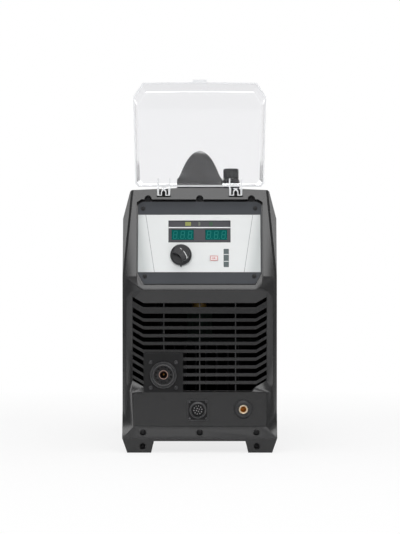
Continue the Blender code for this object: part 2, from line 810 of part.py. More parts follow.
# ---- rear bezel, cover, tray and rear panel -----------------------------------------
def make_rear_bezel():
    bezel = bezel_blank("rear_bezel", REAR_BELLY_Z, SLOPE)
    bezel.parent = REAR
    for modifier in bezel.modifiers:
        modifier.object.parent = REAR
    cavity = case_outline(LIP_Z + BEZEL_WALL, BEZEL_WALL)
    cut(bezel, along_y(cavity, REAR_SINK, BEZEL_DEPTH + 0.01))
    half, low, high = REAR_WINDOW
    window = cut_corners(half, low, high, REAR_WINDOW_CORNER)
    cut(bezel, along_y(window, -0.02, REAR_SINK + 0.01))
    return bezel


def make_cover():
    start = FACE_WALL + 0.012
    outer = case_outline(TRAY_Z + GAP, BEZEL_WALL + GAP)
    inner = case_outline(TRAY_Z - 0.01, BEZEL_WALL + GAP + COVER_SHEET)
    front = console_y(CROWN_Z) + FACE_WALL + 0.004
    back = REAR_INNER_Y - GAP
    cover = add("cover", along_y(outer, start, back), "cover_paint")
    cut(cover, along_y(inner, start - 0.01, back + 0.01))
    lean = [
        (start - 0.01, BELLY_Z),
        (start, BELLY_Z),
        (front, CROWN_Z),
        (front, CROWN_Z + 0.01),
        (start - 0.01, CROWN_Z + 0.01),
    ]
    cut(cover, along_x(lean, -WIDTH, WIDTH))
    slots = []
    for y in VENT_Y:
        for row in range(VENT_ROWS):
            z = VENT_Z + VENT_PITCH * row
            slots.append(box((-WIDTH, WIDTH), (y, y + VENT_LENGTH), (z, z + VENT_HIGH)))
    cut(cover, together(slots))
    return cover


def make_tray():
    half = half_width(0.0, BEZEL_WALL + 2 * GAP + COVER_SHEET)
    span = (FACE_WALL + GAP, REAR_INNER_Y - GAP)
    tray = add("base_tray", box((-half, half), span, (TRAY_Z, TRAY_FLANGE_Z)), "tray_steel")
    inner = half - TRAY_SHEET
    cut(tray, box((-inner, inner), (0.0, CASE_LENGTH), (TRAY_Z + TRAY_SHEET, TRAY_FLANGE_Z + 0.01)))
    return tray


def make_rear_panel():
    sheet = case_outline(LIP_Z + BEZEL_WALL + GAP, BEZEL_WALL + GAP)
    panel = add("rear_panel", along_y(sheet, REAR_INNER_Y, REAR_FACE_Y - GAP), "steel_sheet")
    through = (REAR_INNER_Y - 0.01, REAR_FACE_Y + 0.01)
    cut(panel, rod("Y", (0.0, FAN_Z), *through, FAN_BORE, sides=48))
    cut(panel, rod("Y", (SWITCH_X, SWITCH_Z), *through, SWITCH_NECK_R + GAP))
    cut(panel, rod("Y", (GLAND_X, GLAND_Z), *through, GLAND_R + GAP))
    cut(panel, rod("Y", (PORT_X, PORT_Z), *through, PORT_R + GAP))
    cut(panel, rod("Y", (EARTH_X, EARTH_Z), *through, EARTH_R + GAP, sides=16))
    return panel


# ---- handle -------------------------------------------------------------------------
def make_handle():
    foot = CROWN_Z - BEZEL_WALL
    back = CASE_LENGTH - HANDLE_FRONT
    bell = [
        (HANDLE_PAD_HALF - 0.0005, foot),
        (HANDLE_PAD_HALF, HANDLE_STEP_Z - 0.002),
        (HANDLE_PAD_HALF - 0.003, HANDLE_STEP_Z),
    ]
    rise = HANDLE_TOP_Z - HANDLE_STEP_Z
    for i in range(1, HANDLE_DOME_STEPS):
        up = sin(pi / 2 * i / HANDLE_DOME_STEPS)
        bell.append((HANDLE_HALF * (1 - up**1.3) ** 0.55, HANDLE_STEP_Z + rise * up))
    bell = mirrored(bell + [(HANDLE_RIDGE_HALF, HANDLE_TOP_Z)])
    handle = add("handle", along_y(bell, HANDLE_FRONT, back), "bezel_plastic")
    side = [
        (HANDLE_FRONT - 0.001, foot - 0.001),
        (HANDLE_FRONT, HANDLE_PAD_Z - 0.008),
        (HANDLE_FRONT + 0.012, HANDLE_PAD_Z),
        (HANDLE_FRONT + 0.045, HANDLE_PAD_Z + 0.010),
        (HANDLE_FRONT + HANDLE_RAMP, HANDLE_TOP_Z - 0.010),
        (HANDLE_FRONT + HANDLE_RAMP + 0.030, HANDLE_TOP_Z + 0.001),
    ]
    outline = side + [(CASE_LENGTH - y, z) for y, z in reversed(side)]
    combine(handle, along_x(outline, -WIDTH, WIDTH), "INTERSECT")
    start = HANDLE_FRONT + HANDLE_GAP_START
    gap = [
        (HANDLE_FRONT + HANDLE_PAD_LENGTH, foot - 0.01),
        (HANDLE_FRONT + HANDLE_PAD_LENGTH, foot + 0.006),
        (start, HANDLE_GRIP_UNDER - 0.012),
        (start + 0.018, HANDLE_GRIP_UNDER),
    ]
    gap += [(CASE_LENGTH - y, z) for y, z in reversed(gap)]
    cut(handle, along_x(gap, -WIDTH, WIDTH))
    grip = HANDLE_GRIP_HALF
    waist = [(grip, start + 0.006), (grip + 0.030, start - 0.044)]
    waist += [(x, CASE_LENGTH - y) for x, y in reversed(waist)]
    high = (HANDLE_GRIP_UNDER - 0.024, HANDLE_TOP_Z + 0.01)
    cut(handle, along_z(waist, *high), along_z([(-x, y) for x, y in waist], *high))
    for y in (HANDLE_FRONT + HANDLE_SCREW_IN, back - HANDLE_SCREW_IN):
        cut(handle, rod("Z", (0.0, y), HANDLE_PAD_Z - 0.006, HANDLE_TOP_Z, HANDLE_BORE_R, sides=20))
        cut(handle, rod("Z", (0.0, y), foot - 0.01, HANDLE_TOP_Z, 0.0028, sides=12))
    return handle


# ---- clear cover over the control panel ---------------------------------------------
def lid_rings(inset):
    """Outlines of the cover's rim and of its outer face, less an inset."""
    near = LID_NEAR + inset
    far = LID_LENGTH - inset
    side = LID_HALF - inset
    side_near = LID_HINGE_HALF - inset
    turn_x, turn_z = LID_CORNER
    rim = mirrored(
        [
            (side_near - 0.005, near),
            (side_near, near + 0.006),
            (side, far - turn_z),
            (side - turn_x, far - 0.0010),
            (0.030, far),
        ]
    )
    draft = LID_DRAFT
    face = mirrored(
        [
            (side_near - draft - 0.005, near + LID_NEAR_SLOPE),
            (side_near - draft, near + LID_NEAR_SLOPE + 0.006),
            (side - draft, far - turn_z - draft / 2),
            (side - turn_x - draft / 2, far - draft - 0.0010),
            (0.030, far - draft),
        ]
    )
    return rim, face


def lid_leg(x, thick):
    """One clear leg with an eye round the hinge pin."""
    eye = [(LID_EYE_R * cos(a), LID_EYE_R * sin(a)) for a in (2 * pi * i / 16 for i in range(16))]
    points = eye + [(0.0060, LID_NEAR + 0.0030), (0.0095, LID_NEAR + 0.0030), (0.0095, LID_NEAR + 0.0010)]
    return hull([(x + side * thick / 2, d, s) for d, s in points for side in (-1, 1)])


def lid_rib(x, thick):
    """The rib that carries a leg's load up the inside of the cover."""
    points = [
        (0.0062, LID_NEAR + 0.0015),
        (0.0092, LID_NEAR + LID_RIB),
        (0.0125, LID_NEAR + LID_RIB),
        (0.0300, LID_NEAR + 0.0105),
        (0.0300, LID_NEAR + 0.0100),
    ]
    return hull([(x + side * thick / 2, d, s) for d, s in points for side in (-1, 1)])


def make_lid():
    rim_depth = HINGE_SINK + LID_RISE
    face_depth = rim_depth + LID_DEPTH
    outer_rim, outer_face = lid_rings(0.0)
    inner_rim, inner_face = lid_rings(LID_WALL)
    lid = add("panel_cover", tapered_y(outer_rim, outer_face, rim_depth, face_depth), "clear_plastic", LID)
    cut(lid, tapered_y(inner_rim, inner_face, rim_depth - 0.0001, face_depth - LID_WALL))
    tab = (LID_LENGTH - 0.002, LID_LENGTH + LID_TAB)
    fuse(lid, box((-0.012, 0.012), (rim_depth, rim_depth + 0.003), tab))
    for side in (-1, 1):
        x = side * HINGE_X
        for leg in (-1, 1):
            fuse(lid, lid_leg(x + leg * LID_LEG_OUT, LID_LEG_THICK))
            fuse(lid, lid_rib(x + leg * LID_LEG_OUT, LID_LEG_THICK - 2 * GAP))
        hook = LID_HOOK_HALF
        clip = box((x - hook, x + hook), (-0.0044, -PIN_R - 2 * GAP), (-0.0040, 0.0086))
        fuse(lid, clip)
        fuse(lid, box((x - hook, x + hook), (-0.0040, 0.0085), (0.0068, 0.0086)))
        fuse(lid, box((x - hook, x + hook), (rim_depth + 0.0007, 0.0085), (0.0070, LID_NEAR + 0.0030)))
        cut(lid, rod("X", (0.0, 0.0), x - 0.015, x + 0.015, PIN_R + GAP, sides=16))
        length = HINGE_NOTCH / 2 + PIN_BITE
        name = "hinge_pin_left" if side < 0 else "hinge_pin_right"
        add(name, rod("X", (HINGE_Y, HINGE_Z), x - length, x + length, PIN_R, sides=16), "steel")
    return lid


# ---- control panel ------------------------------------------------------------------
def face_box(x, z, depth, sink=None):
    """A block in the control panel's frame, from heights seen at the panel's surface."""
    sink = PANEL_SINK if sink is None else sink
    low, high = (slope_z(value, sink) for value in z)
    return box(x, depth, (low, high))


def narrowed(span, by):
    """A span with both ends moved in, or out where the distance is negative."""
    return (span[0] + by, span[1] - by)


def make_control_panel():
    surface = PANEL_SINK
    back = PANEL_SINK + PANEL_THICK
    panel = add("control_panel", along_y(panel_ring(), surface, back), "dark_window", CONSOLE)
    foil_pocket = face_box(FOIL_X, FOIL_Z, (surface - 0.01, surface + FOIL_THICK + GAP))
    cut(panel, foil_pocket)
    screen = SCREEN_X, SCREEN_Z
    cut(panel, face_box(*screen, (surface - 0.01, back + 0.01)))
    knob_s = slope_z(KNOB_Z, PANEL_SINK)
    button_s = slope_z(BUTTON_Z, PANEL_SINK)
    cut(panel, rod("Y", (KNOB_X, knob_s), 0.0, back + 0.01, ENCODER_NECK_R + GAP))
    half_x, half_s = BUTTON_HALF
    hole_x = (BUTTON_X - half_x - GAP, BUTTON_X + half_x + GAP)
    hole_s = (button_s - half_s - GAP, button_s + half_s + GAP)
    cut(panel, box(hole_x, (0.0, back + 0.01), hole_s))
    x, z = MODE_X, MODE_Z
    cut(panel, face_box((x[0] - GAP, x[1] + GAP), (z[0] - GAP, z[1] + GAP), (0.0, back + 0.01)))

    skin = (surface - 0.0001, surface + FOIL_THICK)
    foil = face_box(narrowed(FOIL_X, GAP), narrowed(FOIL_Z, GAP), skin)
    foil = add("panel_foil", foil, "panel_foil", CONSOLE)
    deep = (0.0, back)
    cut(foil, face_box(*screen, deep))
    cut(foil, rod("Y", (KNOB_X, knob_s), *deep, ENCODER_NECK_R + GAP))
    cut(foil, box(hole_x, deep, hole_s))
    cut(foil, face_box((x[0] - GAP, x[1] + GAP), (z[0] - GAP, z[1] + GAP), deep))

    frame = face_box(narrowed(SCREEN_X, GAP), narrowed(SCREEN_Z, GAP), (surface, back))
    bezel = add("display_frame", frame, "dark_window", CONSOLE)
    through = (0.0, back + 0.01)
    for name, span in (("display_left", DISPLAY_LEFT), ("display_right", DISPLAY_RIGHT)):
        cut(bezel, face_box(span, DISPLAY_Z, through))
        window = face_box(narrowed(span, GAP), narrowed(DISPLAY_Z, GAP), (surface + 0.0006, back))
        add(name, window, "display_teal", CONSOLE)
    cut(bezel, face_box(narrowed(LAMP_X, -GAP), narrowed(LAMP_Z, -GAP), through))
    add("indicator_window", face_box(LAMP_X, LAMP_Z, (surface + 0.0004, back)), "dark_window", CONSOLE)
    add("mode_window", face_box(x, z, (surface - 0.0004, back)), "dark_window", CONSOLE)

    board_front = back + BOARD_OFF
    outline = grown(panel_ring(), -PANEL_LEDGE - 0.003)
    board = along_y(outline, board_front, board_front + BOARD_THICK)
    board = add("control_board", board, "board_green", CONSOLE)
    for px in (-BOARD_POST_X, BOARD_POST_X):
        for pz in (PANEL_Z[1] + BOARD_POST_IN, PANEL_Z[2] - BOARD_POST_IN):
            spot = (px, slope_z(pz, PANEL_SINK))
            fuse(board, rod("Y", spot, back + GAP, board_front + BOARD_THICK / 2, BOARD_POST_R, sides=12))
    add_knob(knob_s, back, board_front)
    add_button(button_s, back, board_front, board)


def add_knob(knob_s, back, board_front):
    """Adjusting knob on its encoder. The knob's frame has its axis along Y."""
    axis = new_empty("knob_axis", (KNOB_X, 0.0, knob_s), parent=CONSOLE)
    square = (-ENCODER_HALF, ENCODER_HALF)
    body = box(square, (back + GAP, board_front - GAP), square)
    body = add("encoder_body", body, "tray_steel", axis)
    fuse(body, rod("Y", (0.0, 0.0), PANEL_SINK - 0.001, back + 0.002, ENCODER_NECK_R, sides=20))
    cut(body, rod("Y", (0.0, 0.0), 0.0, back + 0.006, SHAFT_R + GAP, sides=16))
    top = PANEL_SINK - KNOB_HEIGHT
    shaft = rod("Y", (0.0, 0.0), top + 0.006, back + 0.0055, SHAFT_R, sides=16)
    add("encoder_shaft", shaft, "steel", axis)
    skirt = PANEL_SINK - 0.0016
    profile = [
        (0.0, top),
        (KNOB_R * 0.60, top),
        (KNOB_R * 0.66, top + 0.0008),
        (KNOB_R * 0.80, top + 0.0105),
        (KNOB_R - 0.0006, top + 0.0118),
        (KNOB_R, top + 0.0125),
        (KNOB_R, skirt),
        (0.0, skirt),
    ]
    knob = add("control_knob", placed(turned(profile, 24), "Y"), "knob_plastic", axis)
    for side in (-1, 1):
        far = side * KNOB_R
        near = side * 0.0046
        cut(knob, box((min(far, near), max(far, near)), (top - 0.001, top + 0.0105), (-KNOB_R, KNOB_R)))
    cut(knob, rod("Y", (0.0, 0.0), top + 0.006 - GAP, skirt + 0.01, SHAFT_R + GAP, sides=16))
    cut(knob, rod("Y", (0.0, 0.0), skirt - 0.0030, skirt + 0.01, ENCODER_NECK_R + 0.001, sides=20))


def add_button(button_s, back, board_front, board):
    """Push button in the panel, and the board's switch under it."""
    axis = new_empty("button_axis", (BUTTON_X, 0.0, button_s), parent=CONSOLE)
    half_x, half_s = BUTTON_HALF
    button = box((-half_x, half_x), (PANEL_SINK - 0.0012, back + 0.003), (-half_s, half_s))
    button = add("mode_button", button, "button_foil", axis)
    wide, high = half_x + BUTTON_FLANGE, half_s + BUTTON_FLANGE
    fuse(button, box((-wide, wide), (back + BUTTON_TRAVEL + GAP, back + 0.003), (-high, high)))
    square = (-0.003, 0.003)
    switch = box(square, (back + 0.003 + BUTTON_TRAVEL + GAP, board_front + 0.001), square)
    fuse(board, switch, frame=axis)


# ---- front sockets ------------------------------------------------------------------
def make_torch_socket():
    face = CONNECTOR_SINK
    ring = [
        (TORCH_BORE_R, -TORCH_PROUD),
        (TORCH_RING_R - 0.0015, -TORCH_PROUD),
        (TORCH_RING_R, 0.0015 - TORCH_PROUD),
        (TORCH_RING_R, face - GAP),
        (TORCH_SLEEVE_R, face - GAP),
        (TORCH_SLEEVE_R, TORCH_DEPTH),
        (TORCH_BORE_R, TORCH_DEPTH),
    ]
    at = (TORCH_X, 0.0, TORCH_Z)
    add("torch_socket_flange", placed(turned(ring, 24), "Y", at), "black_nylon")
    front = TORCH_INSET
    centre = (TORCH_X, TORCH_Z)
    disc = rod("Y", centre, front, TORCH_DEPTH - 0.002, TORCH_BORE_R - GAP, sides=24)
    disc = add("torch_socket_insulator", disc, "black_nylon")
    holes = [rod("Y", centre, front - 0.01, TORCH_DEPTH, TORCH_TUBE_R + GAP, sides=24)]
    for i in range(TORCH_HOLES):
        a = 2 * pi * (i + 0.5) / TORCH_HOLES
        spot = (TORCH_X + TORCH_HOLE_RING * cos(a), TORCH_Z + TORCH_HOLE_RING * sin(a))
        holes.append(rod("Y", spot, front - 0.01, front + 0.008, TORCH_HOLE_R, sides=5))
    cut(disc, together(holes))
    tube_ring = [
        (0.0, TORCH_DEPTH - 0.004),
        (TORCH_TUBE_BORE_R, TORCH_DEPTH - 0.004),
        (TORCH_TUBE_BORE_R, TORCH_TUBE_Y),
        (TORCH_TUBE_R - 0.0006, TORCH_TUBE_Y),
        (TORCH_TUBE_R, TORCH_TUBE_Y + 0.0006),
        (TORCH_TUBE_R, TORCH_DEPTH + 0.006),
        (0.0, TORCH_DEPTH + 0.006),
    ]
    add("torch_socket_contact", placed(turned(tube_ring, 24), "Y", at), "copper")


def make_cnc_socket():
    face = CONNECTOR_SINK
    half = CNC_FLANGE / 2
    cut_off = 0.003
    plate = mirrored(
        [
            (half - cut_off, CNC_Z - half),
            (half, CNC_Z - half + cut_off),
            (half, CNC_Z + half - cut_off),
            (half - cut_off, CNC_Z + half),
        ]
    )
    plate = [(x + CNC_X, z) for x, z in plate]
    shell = add("cnc_socket_shell", along_y(plate, face - CNC_PLATE, face - GAP), "black_nylon")
    fuse(shell, rod("Y", (CNC_X, CNC_Z), -CNC_PROUD, CNC_DEPTH, CNC_BARREL_R, sides=24))
    bore = CNC_BARREL_R - 0.0015
    cut(shell, rod("Y", (CNC_X, CNC_Z), -0.02, CNC_DEPTH + 0.01, bore, sides=24))
    insert = rod("Y", (CNC_X, CNC_Z), CNC_INSET, CNC_DEPTH - 0.001, bore - GAP, sides=24)
    insert = add("cnc_socket_insert", insert, "black_nylon")
    pins = []
    for count, ring in ((4, 0.0026), (10, 0.0068)):
        for i in range(count):
            a = 2 * pi * (i + 0.25) / count
            spot = (CNC_X + ring * cos(a), CNC_Z + ring * sin(a))
            pins.append(rod("Y", spot, CNC_INSET - 0.005, CNC_INSET + 0.002, 0.0006, sides=5))
    fuse(insert, together(pins))


def make_work_socket():
    at = (WORK_X, 0.0, WORK_Z)
    face = CONNECTOR_SINK
    collar = [
        (WORK_BORE_R, -WORK_PROUD),
        (WORK_COLLAR_R - 0.0020, -WORK_PROUD),
        (WORK_COLLAR_R, 0.0020 - WORK_PROUD),
        (WORK_COLLAR_R, face - GAP),
        (WORK_SLEEVE_R, face - GAP),
        (WORK_SLEEVE_R, WORK_DEPTH),
        (WORK_BORE_R, WORK_DEPTH),
    ]
    add("work_socket_collar", placed(turned(collar, 24), "Y", at), "black_nylon")
    outside = WORK_BORE_R - GAP
    contact = [
        (0.0, WORK_DEPTH - 0.002),
        (WORK_PIN_R, WORK_DEPTH - 0.002),
        (WORK_PIN_R, WORK_INSET),
        (outside, WORK_INSET),
        (outside, WORK_DEPTH),
        (outside + 0.0028, WORK_DEPTH + GAP),
        (outside + 0.0028, WORK_DEPTH + 0.004),
        (0.004, WORK_DEPTH + 0.004),
        (0.004, WORK_DEPTH + 0.016),
        (0.0, WORK_DEPTH + 0.016),
    ]
    contact = add("work_socket_contact", placed(turned(contact, 24), "Y", at), "brass")
    key = (WORK_Z, WORK_Z + WORK_PIN_R + 0.0016)
    cut(contact, box((WORK_X - 0.0018, WORK_X + 0.0018), (WORK_INSET - 0.01, 0.012), key))


# ---- fan and rear fittings ----------------------------------------------------------
def make_fan():
    back = REAR_INNER_Y - GAP
    front = back - FAN_DEPTH
    half = FAN_SIZE / 2
    ring = cut_corners(half, FAN_Z - half, FAN_Z + half, FAN_CORNER)
    frame = add("fan_frame", along_y(ring, front, back), "black_nylon")
    cut(frame, rod("Y", (0.0, FAN_Z), front - 0.01, back + 0.01, FAN_BORE, sides=40))
    for angle in (45, 135):
        strut = box((-FAN_BORE - 0.003, FAN_BORE + 0.003), (front, front + 0.004), (-0.004, 0.004))
        spun(strut, radians(angle))
        bmesh.ops.translate(strut, vec=(0, 0, FAN_Z), verts=strut.verts)
        fuse(frame, strut)
    fuse(frame, rod("Y", (0.0, FAN_Z), front, front + 0.006, FAN_HUB, sides=24))
    fuse(frame, rod("Y", (0.0, FAN_Z), front, front + 0.024, 0.006, sides=16))

    axis = new_empty("fan_axis", (0.0, front + 0.0085, FAN_Z), parent=UNIT)
    depth = FAN_DEPTH - 0.0125
    hub = rod("Y", (0.0, 0.0), 0.0, depth, FAN_HUB, sides=24)
    rotor = add("fan_rotor", hub, "knob_plastic", axis)
    cut(rotor, rod("Y", (0.0, 0.0), -0.01, depth - 0.008, 0.0062, sides=16))
    blades = []
    for i in range(BLADES):
        blade = box((FAN_HUB - 0.004, FAN_BLADE), (-0.0008, 0.0008), (-0.0165, 0.0165))
        spun(blade, BLADE_PITCH, "X")
        bmesh.ops.translate(blade, vec=(0, depth / 2, 0), verts=blade.verts)
        blades.append(spun(blade, 2 * pi * i / BLADES))
    fuse(rotor, together(blades))

    face = REAR_FACE_Y
    rings = []
    for i in range(GUARD_RINGS):
        r = GUARD_FIRST_R + GUARD_PITCH * i
        wire = [(r, 0.0), (r + GUARD_WIRE, 0.0), (r + GUARD_WIRE, GUARD_WIRE), (r, GUARD_WIRE)]
        rings.append(placed(turned(wire, 20), "Y", (0.0, face, FAN_Z)))
    disc = rod("Y", (0.0, FAN_Z), face, face + GUARD_WIRE, 0.012, sides=24)
    guard = add("fan_guard", disc, "steel")
    reach = FAN_SIZE / 2 * 1.30
    for angle in (45, 135):
        bar = box((-reach, reach), (face, face + GUARD_WIRE), (-0.0016, 0.0016))
        spun(bar, radians(angle), cent=(0, face, 0))
        bmesh.ops.translate(bar, vec=(0, 0, FAN_Z), verts=bar.verts)
        fuse(guard, bar)
    fuse(guard, together(rings))


def make_mains_switch():
    axis = new_empty("switch_axis", (SWITCH_X, REAR_FACE_Y, SWITCH_Z), parent=UNIT)
    half = SWITCH_PLATE / 2
    plate = box((-half, half), (0.0, 0.004), (-half, half))
    body = add("mains_switch_body", plate, "knob_plastic", axis)
    fuse(body, rod("Y", (0.0, 0.0), -REAR_SHEET - 0.004, 0.002, SWITCH_NECK_R, sides=24))
    case = SWITCH_CASE / 2
    fuse(body, box((-case, case), (-REAR_SHEET - 0.042, -REAR_SHEET - 2 * GAP), (-case, case)))
    cut(body, rod("Y", (0.0, 0.0), -0.010, 0.02, SWITCH_SHAFT_R + GAP, sides=16))
    profile = [
        (0.0, -0.0095),
        (SWITCH_SHAFT_R, -0.0095),
        (SWITCH_SHAFT_R, 0.0045),
        (SWITCH_KNOB_R, 0.0045),
        (SWITCH_KNOB_R, 0.0090),
        (SWITCH_KNOB_R - 0.0020, 0.0110),
        (0.0, 0.0110),
    ]
    knob = add("mains_switch_knob", placed(turned(profile, 24), "Y"), "red_plastic", axis)
    wing = box((-SWITCH_KNOB_R * 0.95, SWITCH_KNOB_R * 0.95), (0.0100, 0.0220), (-0.0050, 0.0050))
    fuse(knob, wing)


def make_gland():
    y = REAR_FACE_Y
    at = (GLAND_X, y, GLAND_Z)
    profile = [
        (GLAND_BORE_R, -0.014),
        (GLAND_R, -0.014),
        (GLAND_R, 0.0),
        (GLAND_R + 0.0035, 0.0),
        (GLAND_R + 0.0035, 0.007),
        (GLAND_R + 0.0020, 0.008),
        (GLAND_R + 0.0020, 0.017),
        (GLAND_R - 0.0010, 0.022),
        (GLAND_BORE_R, 0.022),
    ]
    add("cable_gland", placed(turned(profile, 24), "Y", at), "black_nylon")
    nut = [(GLAND_R + GAP, 0.0), (GLAND_R + 0.0040, 0.0), (GLAND_R + 0.0040, 0.005), (GLAND_R + GAP, 0.005)]
    inside = (GLAND_X, REAR_INNER_Y - GAP - 0.005, GLAND_Z)
    add("gland_nut", placed(turned(nut, 18), "Y", inside), "black_nylon")


def make_air_port():
    y = REAR_FACE_Y
    profile = [
        (0.0, -0.012),
        (PORT_R, -0.012),
        (PORT_R, 0.0),
        (PORT_R + 0.0035, 0.0),
        (PORT_R + 0.0035, 0.006),
        (PORT_R, 0.0065),
        (PORT_R, 0.014),
        (HOSE_BORE_R, 0.0145),
        (HOSE_BORE_R, 0.023),
        (0.0, 0.023),
    ]
    add("air_port", placed(turned(profile, 20), "Y", (PORT_X, y, PORT_Z)), "brass")
    earth = [
        (0.0, -0.010),
        (EARTH_R, -0.010),
        (EARTH_R, 0.0),
        (EARTH_R + 0.0030, 0.0),
        (EARTH_R + 0.0030, 0.0045),
        (EARTH_R, 0.0048),
        (EARTH_R, 0.013),
        (0.0, 0.013),
    ]
    add("earth_stud", placed(turned(earth, 18), "Y", (EARTH_X, y, EARTH_Z)), "brass")


# ---- air filter and regulator -------------------------------------------------------
def make_regulator():
    wide, low, high = REG_BODY
    half = wide / 2
    near = CASE_LENGTH + GAP
    plate_top = high + GAP + BRACKET_SHEET
    bracket = box((REG_X - 0.023, REG_X + 0.023), (near, near + BRACKET_SHEET), (BRACKET_LOW, plate_top))
    bracket = add("regulator_bracket", bracket, "steel")
    fuse(bracket, box((REG_X - 0.023, REG_X + 0.023), (near, REG_Y + 0.021), (high + GAP, plate_top)))
    cut(bracket, rod("Z", (REG_X, REG_Y), high - 0.01, plate_top + 0.01, REG_NECK_R + GAP, sides=24))

    body = box((REG_X - half, REG_X + half), (REG_Y - half, REG_Y + half), (low, high))
    body = add("regulator_body", body, "cast_alloy")
    fuse(body, rod("Z", (REG_X, REG_Y), high - 0.002, plate_top + 0.004, REG_NECK_R, sides=24))
    cut(body, rod("Z", (REG_X, REG_Y), high - 0.012, plate_top + 0.01, REG_SPRING_R, sides=20))
    for side in (-1, 1):
        port = (REG_X + side * half - 0.01, REG_X + side * half + 0.01)
        cut(body, rod("X", (REG_Y, GAUGE_Z), *port, FITTING_R + GAP, sides=18))
    stem = (REG_Y + half - 0.008, REG_Y + half + 0.01)
    cut(body, rod("Y", (REG_X, GAUGE_Z), *stem, GAUGE_STEM_R + GAP, sides=14))

    top = REG_BONNET_TOP
    bonnet = [
        (REG_SPRING_R, plate_top + 0.004 + GAP),
        (REG_SPRING_R, top - 0.004),
        (REG_SCREW_R + GAP, top - 0.004),
        (REG_SCREW_R + GAP, top),
        (REG_BONNET_R - 0.0020, top),
        (REG_BONNET_R, top - 0.0040),
        (REG_BONNET_R, plate_top + GAP),
        (REG_NECK_R + GAP, plate_top + GAP),
        (REG_NECK_R + GAP, plate_top + 0.004 + GAP),
    ]
    add("regulator_bonnet", placed(turned(bonnet, 24), "Z", (REG_X, REG_Y, 0.0)), "bezel_plastic")

    radius, knob_low, knob_top = REG_KNOB
    axis = new_empty("regulator_axis", (REG_X, REG_Y, knob_low), parent=UNIT)
    screw_low = high - 0.010 - knob_low
    reach = REG_SPRING_R - 3 * GAP
    screw = [
        (0.0, screw_low),
        (reach, screw_low),
        (reach, screw_low + 0.003),
        (REG_SCREW_R, screw_low + 0.003),
        (REG_SCREW_R, 0.009),
        (0.0, 0.009),
    ]
    add("regulator_screw", turned(screw, 18), "steel", axis)
    tall = knob_top - knob_low
    profile = [(0.0, 0.0), (radius, 0.0), (radius, tall - 0.002), (radius - 0.002, tall), (0.0, tall)]
    knob = add("regulator_knob", turned(profile, 24), "knob_plastic", axis)
    grooves = []
    for i in range(REG_GROOVES):
        a = 2 * pi * i / REG_GROOVES
        spot = (radius * 1.03 * cos(a), radius * 1.03 * sin(a))
        grooves.append(rod("Z", spot, 0.003, tall + 0.01, 0.0013, sides=5))
    cut(knob, together(grooves))
    cut(knob, rod("Z", (0.0, 0.0), -0.01, 0.009 + REG_PULL + 2 * GAP, REG_SCREW_R + GAP, sides=18))

    bowl_r = half - 0.0015
    bowl = [
        (0.0, BOWL_LOW),
        (0.008, BOWL_LOW),
        (bowl_r - 0.003, BOWL_LOW + 0.008),
        (bowl_r, BOWL_LOW + 0.016),
        (bowl_r, low - GAP),
        (bowl_r - 0.0025, low - GAP),
        (bowl_r - 0.0025, BOWL_LOW + 0.017),
        (bowl_r - 0.0055, BOWL_LOW + 0.0105),
        (0.008, BOWL_LOW + 0.003),
        (0.0, BOWL_LOW + 0.003),
    ]
    bowl = add("filter_bowl", placed(turned(bowl, 24), "Z", (REG_X, REG_Y, 0.0)), "smoke_bowl")
    cut(bowl, rod("Z", (REG_X, REG_Y), BOWL_LOW - 0.01, BOWL_LOW + 0.006, DRAIN_R + GAP, sides=16))
    drain_axis = new_empty("drain_axis", (REG_X, REG_Y, BOWL_LOW), parent=UNIT)
    drain = [
        (0.0, -0.009),
        (DRAIN_R + 0.0030, -0.009),
        (DRAIN_R + 0.0030, -DRAIN_TRAVEL - GAP),
        (DRAIN_R, -DRAIN_TRAVEL - GAP),
        (DRAIN_R, 0.005),
        (0.0, 0.005),
    ]
    add("drain_button", turned(drain, 18), "red_plastic", drain_axis)


def make_gauge():
    half = REG_BODY[0] / 2
    y = REG_Y + half + GAP
    axis = new_empty("gauge_axis", (REG_X, y, GAUGE_Z), parent=UNIT)
    bore = GAUGE_R - GAUGE_WALL
    case = [
        (0.0, -0.007),
        (GAUGE_STEM_R, -0.007),
        (GAUGE_STEM_R, 0.006),
        (GAUGE_R - 0.001, 0.006),
        (GAUGE_R, 0.007),
        (GAUGE_R, GAUGE_DEPTH),
        (bore, GAUGE_DEPTH),
        (bore, 0.015),
        (0.0, 0.015),
    ]
    case = add("gauge_case", placed(turned(case, 24), "Y"), "knob_plastic", axis)
    cut(case, rod("Y", (0.0, 0.0), 0.010, 0.03, GAUGE_PIN_R + GAP, sides=12))
    dial = rod("Y", (0.0, 0.0), 0.015 + GAP, 0.016, bore - GAP, sides=24)
    dial = add("gauge_dial", dial, "gauge_white", axis)
    cut(dial, rod("Y", (0.0, 0.0), 0.0, 0.03, GAUGE_PIN_R + GAP, sides=12))
    needle = rod("Y", (0.0, 0.0), 0.0115, 0.0195, GAUGE_PIN_R, sides=12)
    needle = add("gauge_needle", needle, "red_plastic", axis)
    hand = box((-0.0007, 0.0007), (0.0170, 0.0178), (-0.0040, GAUGE_R - 0.0060))
    fuse(needle, spun(hand, radians(GAUGE_START)))
    fuse(needle, rod("Y", (0.0, 0.0), 0.0168, 0.0182, 0.0024, sides=16))
    lens = rod("Y", (0.0, 0.0), GAUGE_DEPTH - 0.0025, GAUGE_DEPTH - 0.0005, bore - GAP, sides=24)
    add("gauge_lens", lens, "clear_plastic", axis)


